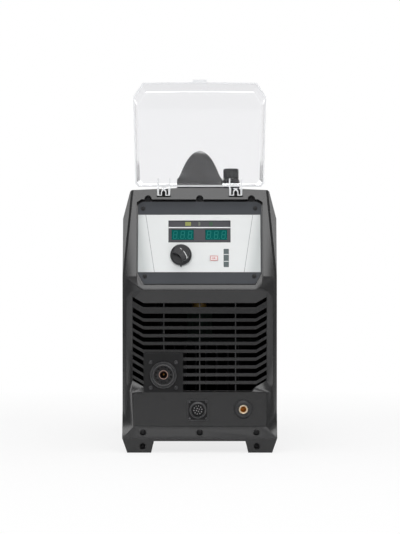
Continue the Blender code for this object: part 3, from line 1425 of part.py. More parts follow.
def make_air_fittings():
    half = REG_BODY[0] / 2
    x = REG_X + half
    inlet = rod("X", (REG_Y, GAUGE_Z), x - 0.009, x + 0.004, FITTING_R, sides=20)
    inlet = add("air_inlet_fitting", inlet, "brass")
    fuse(inlet, rod("X", (REG_Y, GAUGE_Z), x + GAP, x + 0.009, 0.0095, sides=6))
    fuse(inlet, rod("X", (REG_Y, GAUGE_Z), x + 0.008, x + 0.026, 0.0048, sides=16))
    for i in range(3):
        start = x + 0.012 + 0.0045 * i
        fuse(inlet, rod("X", (REG_Y, GAUGE_Z), start, start + 0.0036, 0.0060, 0.0050, sides=16))
    cut(inlet, rod("X", (REG_Y, GAUGE_Z), x - 0.005, x + 0.04, 0.0030, sides=12))

    x = REG_X - half
    elbow_x = x - 0.014
    elbow = rod("X", (REG_Y, GAUGE_Z), elbow_x - 0.007, x + 0.009, FITTING_R - 0.0005, sides=18)
    elbow = add("air_outlet_elbow", elbow, "brass")
    fuse(elbow, rod("X", (REG_Y, GAUGE_Z), x - 0.006, x - GAP, 0.0090, sides=6))
    fuse(elbow, rod("Z", (elbow_x, REG_Y), GAUGE_Z - 0.018, GAUGE_Z, FITTING_R - 0.0007, sides=18))
    barb = HOSE_BORE_R
    fuse(elbow, rod("Z", (elbow_x, REG_Y), GAUGE_Z - 0.026, GAUGE_Z - 0.010, barb, sides=14))

    stops = [
        (elbow_x, REG_Y, GAUGE_Z - 0.0185),
        (elbow_x, REG_Y, GAUGE_Z - 0.030),
        (elbow_x - 0.002, REG_Y + 0.003, GAUGE_Z - 0.060),
        (PORT_X + 0.008, REG_Y + 0.004, PORT_Z + 0.024),
        (PORT_X + 0.001, REG_Y - 0.006, PORT_Z + 0.002),
        (PORT_X, REAR_FACE_Y + 0.0215, PORT_Z),
        (PORT_X, REAR_FACE_Y + 0.0148, PORT_Z),
    ]
    hose = tube_mesh("air_hose", smooth_path(stops, 4), HOSE_R, "hose_blue")
    cut(hose, rod("Z", (elbow_x, REG_Y), GAUGE_Z - 0.027, GAUGE_Z, barb + GAP, sides=14))
    cut(hose, rod("Y", (PORT_X, PORT_Z), REAR_FACE_Y, REAR_FACE_Y + 0.024, barb + GAP, sides=20))


def tube_mesh(name, points, radius, slot):
    """A tube as a mesh, so that a Boolean can cut it."""
    curve = tube(name + "_path", points, radius, slot)
    graph = bpy.context.evaluated_depsgraph_get()
    graph.update()
    mesh = bpy.data.meshes.new_from_object(curve.evaluated_get(graph))
    bpy.data.objects.remove(curve)
    bm = bmesh.new()
    bm.from_mesh(mesh)
    bpy.data.meshes.remove(mesh)
    bmesh.ops.remove_doubles(bm, verts=bm.verts, dist=0.00001)
    return add(name, bm, slot)


# ---- inside -------------------------------------------------------------------------
def make_inside():
    floor = TRAY_Z + TRAY_SHEET + GAP
    sink = box(SINK_X, SINK_Y, (floor, floor + SINK_HIGH))
    sink = add("heat_sink", sink, "heat_sink")
    fins = []
    for i in range(SINK_SLOTS):
        pitch = (SINK_X[1] - SINK_X[0] - 0.008) / SINK_SLOTS
        x = SINK_X[0] + 0.008 + pitch * i
        fins.append(box((x, x + pitch - 0.003), (0.0, 1.0), (floor + 0.004, floor + SINK_HIGH - 0.009)))
    cut(sink, together(fins))
    board_z = floor + SINK_HIGH + GAP
    board = add("power_board", box(BOARD_X, BOARD_Y, (board_z, board_z + 0.002)), "board_green")
    module_top = board_z + MODULE_HIGH
    fuse(board, box((-0.022, 0.022), (0.200, 0.250), (board_z + 0.001, module_top)))
    top = board_z + 0.002 + GAP
    for name, x in (("capacitor_left", -CAPACITOR_X), ("capacitor_right", CAPACITOR_X)):
        add(name, rod("Z", (x, CAPACITOR_Y), top, top + CAPACITOR_HIGH, CAPACITOR_R, sides=24), "core_grey")

    deep = (CORE_Y, CORE_Y + CORE_DEEP)
    core = box((CORE_X, CORE_X + CORE_SIZE), deep, (floor, floor + CORE_SIZE))
    core = add("transformer_core", core, "core_grey")
    window = (floor + CORE_LIMB, floor + CORE_SIZE - CORE_LIMB)
    across = (CORE_X + CORE_LIMB, CORE_X + CORE_SIZE - CORE_LIMB)
    cut(core, box(across, narrowed(deep, -0.01), window))
    around = (CORE_X - COIL_WALL, across[0] + COIL_WALL)
    coil = box(around, narrowed(deep, -COIL_WALL), narrowed(window, 0.002))
    coil = add("transformer_winding", coil, "winding_tape")
    cut(coil, box((CORE_X - GAP, across[0] + GAP), narrowed(deep, -GAP), (0.0, floor + CORE_SIZE)))
    inner, outer, tall = CHOKE_SIZE
    choke = [
        (inner + 0.001, 0.0),
        (outer - 0.002, 0.0),
        (outer, 0.002),
        (outer, tall - 0.002),
        (outer - 0.002, tall),
        (inner + 0.001, tall),
        (inner, tall - 0.001),
        (inner, 0.001),
    ]
    add("filter_choke", placed(turned(choke, 24), "Z", (CHOKE_X, CHOKE_Y, module_top + GAP)), "winding_tape")

    valve_y = REAR_INNER_Y - VALVE_LENGTH
    half = VALVE_HALF
    square = (PORT_X - half, PORT_X + half), (valve_y, REAR_INNER_Y - GAP), (PORT_Z - half, PORT_Z + half)
    valve = add("air_valve", box(*square), "brass")
    cut(valve, rod("Y", (PORT_X, PORT_Z), REAR_INNER_Y - 0.013, REAR_INNER_Y + 0.01, PORT_R + GAP, sides=20))
    fuse(valve, rod("Z", (PORT_X, valve_y + 0.016), PORT_Z + 0.012, PORT_Z + 0.044, half - 0.0005, sides=24))
    fuse(valve, rod("Y", (PORT_X, PORT_Z), valve_y - 0.012, valve_y + 0.002, HOSE_BORE_R, sides=14))
    stops = [
        (PORT_X, valve_y - 0.0005, PORT_Z),
        (PORT_X, valve_y - 0.010, PORT_Z),
        (PORT_X, valve_y - 0.022, PORT_Z),
        (PORT_X - 0.02, valve_y - 0.070, PORT_Z + 0.006),
        (TORCH_X - 0.015, 0.300, PORT_Z),
        (TORCH_X - 0.010, 0.120, PORT_Z - 0.080),
        (TORCH_X, 0.085, TORCH_Z + 0.040),
        (TORCH_X, 0.062, TORCH_Z + 0.004),
        (TORCH_X, TORCH_DEPTH + 0.014, TORCH_Z),
        (TORCH_X, TORCH_DEPTH + 0.0064, TORCH_Z),
    ]
    hose = tube_mesh("torch_hose", smooth_path(stops, 3), HOSE_R, "hose_blue")
    cut(hose, rod("Y", (PORT_X, PORT_Z), valve_y - 0.013, valve_y + 0.01, HOSE_BORE_R + GAP, sides=14))


# ---- build --------------------------------------------------------------------------
clear_scene()
PARTS = new_collection("plasma_cutter_unit")
CUTTERS = new_collection("cutters")
CUTTERS.hide_render = True
UNIT = new_empty("unit", (0.0, UNIT_Y, 0.0))
REAR = new_empty("rear_frame", (0.0, CASE_LENGTH, 0.0), (0.0, 0.0, pi), UNIT)
CONSOLE = new_empty("console_frame", (0.0, 0.0, BELLY_Z), (-TILT, 0.0, 0.0), UNIT)
LID = new_empty("lid_axis", (0.0, HINGE_Y, HINGE_Z), (-TILT, 0.0, 0.0), UNIT)
bpy.context.view_layer.update()

make_front_bezel()
make_rear_bezel()
make_cover()
make_tray()
make_rear_panel()
make_handle()
make_control_panel()
make_lid()
make_torch_socket()
make_cnc_socket()
make_work_socket()
make_fan()
make_mains_switch()
make_gland()
make_air_port()
make_regulator()
make_gauge()
make_air_fittings()
make_inside()
bpy.context.view_layer.update()
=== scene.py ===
# Plasma cutter unit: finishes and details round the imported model. Metres, Z up, front at -Y.
import json
import math

import bmesh
import bpy
from mathutils import Matrix, Vector

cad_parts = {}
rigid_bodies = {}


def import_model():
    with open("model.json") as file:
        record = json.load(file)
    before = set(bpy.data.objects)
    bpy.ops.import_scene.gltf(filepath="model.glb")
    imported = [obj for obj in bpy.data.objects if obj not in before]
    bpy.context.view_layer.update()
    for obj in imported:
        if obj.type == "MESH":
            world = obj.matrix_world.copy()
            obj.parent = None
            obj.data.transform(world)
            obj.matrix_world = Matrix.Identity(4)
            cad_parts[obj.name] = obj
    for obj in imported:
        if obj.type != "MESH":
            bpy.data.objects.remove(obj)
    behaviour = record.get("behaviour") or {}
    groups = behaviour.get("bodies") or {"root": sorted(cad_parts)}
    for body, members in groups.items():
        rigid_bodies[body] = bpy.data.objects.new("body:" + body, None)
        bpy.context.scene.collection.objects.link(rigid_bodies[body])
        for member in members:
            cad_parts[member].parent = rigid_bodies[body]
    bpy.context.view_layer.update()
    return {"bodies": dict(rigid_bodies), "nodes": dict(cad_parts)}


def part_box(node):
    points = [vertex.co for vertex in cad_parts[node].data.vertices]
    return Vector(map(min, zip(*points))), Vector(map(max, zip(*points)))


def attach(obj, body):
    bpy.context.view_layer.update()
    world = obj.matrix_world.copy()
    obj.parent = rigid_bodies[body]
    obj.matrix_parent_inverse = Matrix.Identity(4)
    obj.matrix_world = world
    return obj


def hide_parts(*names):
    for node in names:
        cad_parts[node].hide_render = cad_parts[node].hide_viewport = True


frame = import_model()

nodes = frame["nodes"]
print("frame loaded:", len(nodes), "nodes")

# where each CAD node rides
bodyOf = {}
for nodeName, node in nodes.items():
    for bodyName, empty in frame["bodies"].items():
        if node.parent == empty:
            bodyOf[nodeName] = bodyName

unit = {
    "halfWidth": 0.129,
    "frontY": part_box("front_bezel")[0].y + 0.012,  # the lip stands 12 mm before the front plane
    "rearFace": 0.25985,
    "consoleFoot": 0.293,
    "consoleLean": math.radians(14),
    "panelSink": 0.008,
}
frontY = unit["frontY"]
rearFace = unit["rearFace"]
lean = unit["consoleLean"]
panelSink = unit["panelSink"]
consoleFrame = Matrix.Translation((0, frontY, unit["consoleFoot"])) @ Matrix.Rotation(-lean, 4, "X")
upright = Matrix.Rotation(math.pi / 2, 4, "X")


# places: a piece is modelled lying down, its height then points out of the surface
def frontAt(x, z, out=0.0, tilt=0.0):
    spot = Matrix.Translation((x, frontY - out, z))
    return spot @ Matrix.Rotation(-tilt, 4, "X") @ upright


def consoleAt(x, z, depth=panelSink):
    upSlope = (z - unit["consoleFoot"] + depth * math.sin(lean)) / math.cos(lean)
    return consoleFrame @ Matrix.Translation((x, depth, upSlope)) @ upright


def rearAt(x, z, y=rearFace):
    return Matrix.Translation((x, y, z)) @ Matrix.Rotation(math.pi, 4, "Z") @ upright


def sideAt(side, y, z, x=unit["halfWidth"]):
    return Matrix.Translation((side * x, y, z)) @ Matrix.Rotation(side * math.pi / 2, 4, "Z") @ upright


def topAt(x, y, z):
    return Matrix.Translation((x, y, z))


# mesh helpers
def lathe(profile, steps=72):
    bm = bmesh.new()
    corners = [bm.verts.new((radius, 0, high)) for radius, high in profile]
    links = list(zip(corners, corners[1:]))
    if min(radius for radius, high in profile) > 0:
        links.append((corners[-1], corners[0]))
    edges = [bm.edges.new(link) for link in links]
    geom = corners + edges
    full = 2 * math.pi
    bmesh.ops.spin(bm, geom=geom, cent=(0, 0, 0), axis=(0, 0, 1), angle=full, steps=steps, use_merge=True)
    bmesh.ops.remove_doubles(bm, verts=bm.verts, dist=1e-6)
    bmesh.ops.recalc_face_normals(bm, faces=bm.faces)
    return bm


def turning(profile, steps=72):
    # a lathe profile in millimetres
    return lathe([(radius / 1000, high / 1000) for radius, high in profile], steps)


def slab(wide, high, thick, corner=0.0, steps=4):
    bm = bmesh.new()
    bmesh.ops.create_cube(bm, size=1)
    bmesh.ops.scale(bm, vec=(wide, high, thick), verts=bm.verts)
    bmesh.ops.translate(bm, vec=(0, 0, thick / 2), verts=bm.verts)
    if corner:
        standing = [e for e in bm.edges if abs(e.verts[0].co.z - e.verts[1].co.z) > thick / 2]
        bmesh.ops.bevel(
            bm, geom=standing, offset=corner, offset_type="OFFSET", affect="EDGES", segments=steps,
            profile=0.5, material=-1,
        )
    return bm


def post(radius, low, high, sides=16):
    bm = bmesh.new()
    deep = high - low
    bmesh.ops.create_cone(bm, cap_ends=True, segments=sides, radius1=radius, radius2=radius, depth=deep)
    bmesh.ops.translate(bm, vec=(0, 0, (low + high) / 2), verts=bm.verts)
    return bm


def moved(bm, place):
    bmesh.ops.transform(bm, matrix=place, verts=bm.verts)
    return bm


def shifted(bm, x=0.0, y=0.0, z=0.0):
    return moved(bm, Matrix.Translation((x, y, z)))


def turned(bm, degrees, axis="Z"):
    return moved(bm, Matrix.Rotation(math.radians(degrees), 4, axis))


def merged(shapes):
    whole = bmesh.new()
    for shape in shapes:
        step = bpy.data.meshes.new("step")
        shape.to_mesh(step)
        whole.from_mesh(step)
        shape.free()
        bpy.data.meshes.remove(step)
    return whole


def copies(bm, places):
    return merged([moved(bm.copy(), place) for place in places])


def held(bm, name):
    mesh = bpy.data.meshes.new(name)
    bm.to_mesh(mesh)
    bm.free()
    thing = bpy.data.objects.new(name, mesh)
    bpy.context.scene.collection.objects.link(thing)
    return thing


def carve(bm, cutters, operation="DIFFERENCE"):
    body = held(bm, "carveBody")
    tool = held(merged(cutters), "carveTool")
    step = body.modifiers.new("carve", "BOOLEAN")
    step.object = tool
    step.operation = operation
    step.solver = "EXACT"
    found = bpy.context.evaluated_depsgraph_get()
    mesh = bpy.data.meshes.new_from_object(body.evaluated_get(found), depsgraph=found)
    result = bmesh.new()
    result.from_mesh(mesh)
    bpy.data.objects.remove(body)
    bpy.data.objects.remove(tool)
    bmesh.ops.remove_doubles(result, verts=result.verts, dist=1e-6)
    return result


def finishPiece(bm, name, look, body="case", place=None, edge=0.0, segments=2, stands=(), sharp=32):
    if place is not None:
        moved(bm, place)
    for face in bm.faces:
        face.smooth = True
    for side in bm.edges:
        side.smooth = side.calc_face_angle(0.0) < math.radians(sharp)
    piece = held(bm, name)
    piece.data.materials.append(looks[look])
    if edge:
        soften = piece.modifiers.new("soften", "BEVEL")
        soften.limit_method = "ANGLE"
        soften.angle_limit = math.radians(sharp)
        soften.width = edge
        soften.segments = segments
        soften.harden_normals = True
    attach(piece, body)
    if stands:
        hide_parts(*stands)
    return piece


# their faces have holes, so the triangles stay
withWindows = ("display_frame", "control_panel", "panel_foil")


def mergedCopy(nodeName):
    bm = bmesh.new()
    bm.from_mesh(nodes[nodeName].data)
    bmesh.ops.remove_doubles(bm, verts=bm.verts, dist=0.00002)
    return bm


def refined(nodeName, name, look, edge=0.0006, segments=2, sharp=32, cutters=()):
    bm = mergedCopy(nodeName)
    if cutters:
        bm = carve(bm, cutters)
    if nodeName in withWindows:
        edge = 0.0
    else:
        bmesh.ops.dissolve_limit(bm, angle_limit=math.radians(0.6), verts=bm.verts, edges=bm.edges)
    body = bodyOf[nodeName]
    return finishPiece(bm, name, look, body, None, edge, segments, (nodeName,), sharp)


def screwHead(radius, high, recess="hex"):
    head = lathe(
        [
            (0, 0), (radius, 0), (radius, high * 0.45), (radius * 0.90, high * 0.80), (radius * 0.62, high),
            (0, high),
        ],
        32,
    )
    deep = high * 0.55
    if recess == "hex":
        return carve(head, [post(radius * 0.52, high - deep, high * 1.4, 6)])
    bar = shifted(slab(radius * 1.15, radius * 0.26, high), z=high - deep)
    head = carve(head, [bar.copy()])
    return carve(head, [turned(bar, 90)])


def grown(bm, along, keep=False):
    # its faces, pushed out into a solid
    result = bmesh.ops.extrude_face_region(bm, geom=bm.faces[:], use_keep_orig=keep)
    fresh = [g for g in result["geom"] if isinstance(g, bmesh.types.BMVert)]
    bmesh.ops.translate(bm, vec=along, verts=fresh)
    bmesh.ops.recalc_face_normals(bm, faces=bm.faces)
    return bm


def screwSet(name, radius, high, places, look="blackScrew", recess="cross", edge=0.0002):
    finishPiece(copies(screwHead(radius, high, recess), places), name, look, edge=edge)


def square(half):
    # the four corners of a square
    return [(x * half, z * half) for x in (-1, 1) for z in (-1, 1)]


def plate(outline, thick):
    # a flat outline in X and Y, grown upwards
    bm = bmesh.new()
    corners = [bm.verts.new((x, y, 0)) for x, y in outline]
    rim = [bm.edges.new(pair) for pair in zip(corners, corners[1:] + corners[:1])]
    bmesh.ops.contextual_create(bm, geom=rim)
    return grown(bm, (0, 0, thick))


def ribbon(points, wide, thick):
    # a line of even width through the points
    left = []
    right = []
    for step, (x, y) in enumerate(points):
        ax, ay = points[max(step - 1, 0)]
        bx, by = points[min(step + 1, len(points) - 1)]
        run = math.hypot(bx - ax, by - ay)
        outX, outY = (ay - by) / run * wide / 2, (bx - ax) / run * wide / 2
        left.append((x + outX, y + outY))
        right.append((x - outX, y - outY))
    return plate(left + right[::-1], thick)


def pointedBar(length, bar, thick):
    bm = bmesh.new()
    bmesh.ops.create_circle(bm, cap_ends=True, segments=6, radius=bar / 2)
    for corner in bm.verts:
        corner.co.y += math.copysign((length - bar) / 2, corner.co.y)
    return grown(bm, (0, 0, thick))


def segmentDigit(wide, high, bar, thick):
    rise = high / 2 - bar * 0.55
    side = wide / 2
    bars = []
    for x in (-side, side):
        for y in (-rise / 2, rise / 2):
            bars.append(shifted(pointedBar(rise * 0.94, bar, thick), x, y))
    for y in (-rise, 0, rise):
        bars.append(shifted(turned(pointedBar(wide * 0.92, bar, thick), 90), 0, y))
    return merged(bars)


def numeral(text, high, thick):
    words = bpy.data.curves.new("numeral", "FONT")
    words.body = text
    words.size = high * 1.4
    words.align_x = "CENTER"
    words.align_y = "CENTER"
    words.extrude = thick / 2
    words.resolution_u = 3
    thing = bpy.data.objects.new("numeral", words)
    bpy.context.scene.collection.objects.link(thing)
    found = bpy.context.evaluated_depsgraph_get()
    mesh = bpy.data.meshes.new_from_object(thing.evaluated_get(found), depsgraph=found)
    bm = bmesh.new()
    bm.from_mesh(mesh)
    bpy.data.objects.remove(thing)
    bmesh.ops.remove_doubles(bm, verts=bm.verts, dist=1e-7)
    bmesh.ops.recalc_face_normals(bm, faces=bm.faces)
    return shifted(bm, z=thick / 2)


def outlineRing(wide, high, line, thick, corner):
    outer = slab(wide, high, thick, corner)
    inner = slab(wide - 2 * line, high - 2 * line, thick * 3, max(corner - line, 0.0001))
    return carve(outer, [shifted(inner, z=-thick)])


# shader groups
def shaderGroup(name, inputs, outputs):
    tree = bpy.data.node_groups.new(name, "ShaderNodeTree")
    for label, kind, value in inputs:
        socket = tree.interface.new_socket(label, in_out="INPUT", socket_type=kind)
        socket.default_value = value
    for label, kind in outputs:
        tree.interface.new_socket(label, in_out="OUTPUT", socket_type=kind)
    return tree, tree.nodes.new("NodeGroupInput"), tree.nodes.new("NodeGroupOutput")


def mathNode(tree, operation, first, second=None, third=None, clamp=False):
    step = tree.nodes.new("ShaderNodeMath")
    step.operation = operation
    step.use_clamp = clamp
    for place, value in enumerate((first, second, third)):
        if value is None:
            continue
        if isinstance(value, (int, float)):
            step.inputs[place].default_value = value
        else:
            tree.links.new(value, step.inputs[place])
    return step.outputs[0]


def noiseNode(tree, vector, scale, detail=3.0, roughness=0.55):
    step = tree.nodes.new("ShaderNodeTexNoise")
    tree.links.new(vector, step.inputs["Vector"])
    if isinstance(scale, (int, float)):
        step.inputs["Scale"].default_value = scale
    else:
        tree.links.new(scale, step.inputs["Scale"])
    step.inputs["Detail"].default_value = detail
    step.inputs["Roughness"].default_value = roughness
    return step.outputs["Fac"]


def mixColour(tree, factor, first, second):
    step = tree.nodes.new("ShaderNodeMix")
    step.data_type = "RGBA"
    for label, value in (("Factor_Float", factor), ("A_Color", first), ("B_Color", second)):
        socket = next(s for s in step.inputs if s.identifier == label)
        if isinstance(value, bpy.types.NodeSocket):
            tree.links.new(value, socket)
        elif isinstance(value, (int, float)):
            socket.default_value = value
        else:
            socket.default_value = (*value, 1.0)
    return next(s for s in step.outputs if s.identifier == "Result_Color")


def objectPoint(tree):
    return tree.nodes.new("ShaderNodeTexCoord").outputs["Object"]


def makeGrainGroup():
    # fine texture of a surface: moulded grain, powder coat or, stretched, brush lines
    inputs = [("Scale", "NodeSocketFloat", 900.0), ("Stretch", "NodeSocketVector", (1.0, 1.0, 1.0))]
    tree, start, end = shaderGroup("surfaceGrain", inputs, [("Height", "NodeSocketFloat")])
    spread = tree.nodes.new("ShaderNodeMapping")
    tree.links.new(objectPoint(tree), spread.inputs["Vector"])
    tree.links.new(start.outputs["Stretch"], spread.inputs["Scale"])
    fine = noiseNode(tree, spread.outputs["Vector"], start.outputs["Scale"], 4.0, 0.6)
    cells = tree.nodes.new("ShaderNodeTexVoronoi")
    cells.feature = "SMOOTH_F1"
    tree.links.new(spread.outputs["Vector"], cells.inputs["Vector"])
    tree.links.new(mathNode(tree, "MULTIPLY", start.outputs["Scale"], 0.8), cells.inputs["Scale"])
    both = mathNode(tree, "MULTIPLY_ADD", cells.outputs["Distance"], 0.7, fine)
    tree.links.new(both, end.inputs["Height"])
    return tree


def makeToneGroup():
    # slow drift between two tones, with a fine fleck in it
    inputs = [
        ("Tone A", "NodeSocketColor", (0.1, 0.1, 0.1, 1.0)),
        ("Tone B", "NodeSocketColor", (0.2, 0.2, 0.2, 1.0)),
        ("Scale", "NodeSocketFloat", 14.0),
        ("Fleck", "NodeSocketFloat", 0.15),
    ]
    outputs = [("Color", "NodeSocketColor"), ("Drift", "NodeSocketFloat")]
    tree, start, end = shaderGroup("toneDrift", inputs, outputs)
    point = objectPoint(tree)
    slow = noiseNode(tree, point, start.outputs["Scale"], 4.0)
    quick = noiseNode(tree, point, mathNode(tree, "MULTIPLY", start.outputs["Scale"], 60.0), 2.0)
    fleck = mathNode(
        tree, "MULTIPLY_ADD", mathNode(tree, "SUBTRACT", quick, 0.5), start.outputs["Fleck"], slow, True,
    )
    tree.links.new(
        mixColour(tree, fleck, start.outputs["Tone A"], start.outputs["Tone B"]), end.inputs["Color"],
    )
    tree.links.new(slow, end.inputs["Drift"])
    return tree


def makeWearAndGlintGroup():
    # where handling has rubbed the edges, broken up by noise; on the adjusting knob this lighter edge is
    # also a painted highlight for its rim glints
    inputs = [
        ("Width", "NodeSocketFloat", 0.0012),
        ("Amount", "NodeSocketFloat", 0.4),
        ("Scale", "NodeSocketFloat", 90.0),
    ]
    tree, start, end = shaderGroup("edgeWearAndGlint", inputs, [("Mask", "NodeSocketFloat")])
    round_ = tree.nodes.new("ShaderNodeBevel")
    round_.samples = 4
    tree.links.new(start.outputs["Width"], round_.inputs["Radius"])
    surface = tree.nodes.new("ShaderNodeNewGeometry")
    dot = tree.nodes.new("ShaderNodeVectorMath")
    dot.operation = "DOT_PRODUCT"
    tree.links.new(round_.outputs["Normal"], dot.inputs[0])
    tree.links.new(surface.outputs["Normal"], dot.inputs[1])
    turn = mathNode(
        tree, "MULTIPLY", mathNode(tree, "SUBTRACT", 1.0, dot.outputs["Value"]), 7.0, clamp=True,
    )
    noise = noiseNode(tree, objectPoint(tree), start.outputs["Scale"], 5.0, 0.7)
    broken = mathNode(tree, "MULTIPLY_ADD", noise, 3.2, -1.1, True)
    rubbed = mathNode(tree, "MULTIPLY", turn, broken)
    tree.links.new(
        mathNode(tree, "MULTIPLY", rubbed, start.outputs["Amount"], clamp=True), end.inputs["Mask"],
    )
    return tree


grainGroup = makeGrainGroup()
toneGroup = makeToneGroup()
wearAndGlintGroup = makeWearAndGlintGroup()


def groupIn(tree, group, values):
    step = tree.nodes.new("ShaderNodeGroup")
    step.node_tree = group
    for label, value in values.items():
        step.inputs[label].default_value = value
    return step


def newLook(name):
    look = bpy.data.materials.new(name)
    look.use_nodes = True
    return look, look.node_tree, look.node_tree.nodes["Principled BSDF"]


def startSurface(tree, shader, finish):
    # tone, roughness and bump, which all finishes have
    tones = {"Tone A": (*finish["tone"], 1.0), "Tone B": (*finish["toneB"], 1.0)}
    drift = groupIn(tree, toneGroup, {**tones, "Scale": finish["drift"], "Fleck": finish["fleck"]})
    grain = groupIn(tree, grainGroup, {"Scale": finish["grain"], "Stretch": finish["stretch"]})
    rough = mathNode(tree, "MULTIPLY_ADD", grain.outputs["Height"], finish["roughSpread"], finish["rough"])
    bump = tree.nodes.new("ShaderNodeBump")
    bump.inputs["Strength"].default_value = finish["bump"]
    bump.inputs["Distance"].default_value = finish["bumpDepth"]
    tree.links.new(grain.outputs["Height"], bump.inputs["Height"])
    tree.links.new(bump.outputs["Normal"], shader.inputs["Normal"])
    return drift.outputs["Color"], rough


def addSurface(tree, shader, finish):
    # an opaque finish, worn at its edges
    colour, rough = startSurface(tree, shader, finish)
    if finish["wear"]:
        wear = groupIn(tree, wearAndGlintGroup, {"Width": finish["wearWidth"], "Amount": finish["wear"]})
        colour = mixColour(tree, wear.outputs["Mask"], colour, finish["wearTone"])
        rough = mathNode(tree, "MULTIPLY_ADD", wear.outputs["Mask"], finish["wearRough"], rough)
    tree.links.new(colour, shader.inputs["Base Color"])
    tree.links.new(rough, shader.inputs["Roughness"])
    shader.inputs["Metallic"].default_value = finish["metal"]
    shader.inputs["Specular IOR Level"].default_value = finish["specular"]
    shader.inputs["Coat Weight"].default_value = finish["coat"]
    shader.inputs["Coat Roughness"].default_value = finish["coatRough"]
    return colour


def solidLook(name, finish):
    look, tree, shader = newLook(name)
    addSurface(tree, shader, finish)
    return look


def clearLook(name, finish):
    # clear plastic with faint rubbing marks; lamps reach what is behind it
    look, tree, shader = newLook(name)
    colour, rough = startSurface(tree, shader, finish)
    tree.links.new(colour, shader.inputs["Base Color"])
    tree.links.new(rough, shader.inputs["Roughness"])
    shader.inputs["IOR"].default_value = finish["ior"]
    shader.inputs["Transmission Weight"].default_value = 1.0
    path = tree.nodes.new("ShaderNodeLightPath")
    open_ = tree.nodes.new("ShaderNodeBsdfTransparent")
    open_.inputs["Color"].default_value = (*finish["shadow"], 1.0)
    blend = tree.nodes.new("ShaderNodeMixShader")
    tree.links.new(path.outputs["Is Shadow Ray"], blend.inputs[0])
    tree.links.new(shader.outputs["BSDF"], blend.inputs[1])
    tree.links.new(open_.outputs["BSDF"], blend.inputs[2])
    tree.links.new(blend.outputs["Shader"], tree.nodes["Material Output"].inputs["Surface"])
    return look


looks = {}
usual = {
    "bump": 0.3, "bumpDepth": 0.00012, "coat": 0.0, "coatRough": 0.1, "drift": 14.0, "fleck": 0.25,
    "metal": 0.0, "roughSpread": 0.08, "specular": 0.5, "stretch": (1.0, 1.0, 1.0), "wear": 0.0,
    "wearRough": -0.1, "wearWidth": 0.0010,
}


def surface(tone, toneB, rough, grain, **more):
    # two tones that drift into each other, roughness, grain size, and what isn't as usual
    return {**usual, "tone": tone, "toneB": toneB, "rough": rough, "grain": grain, **more}


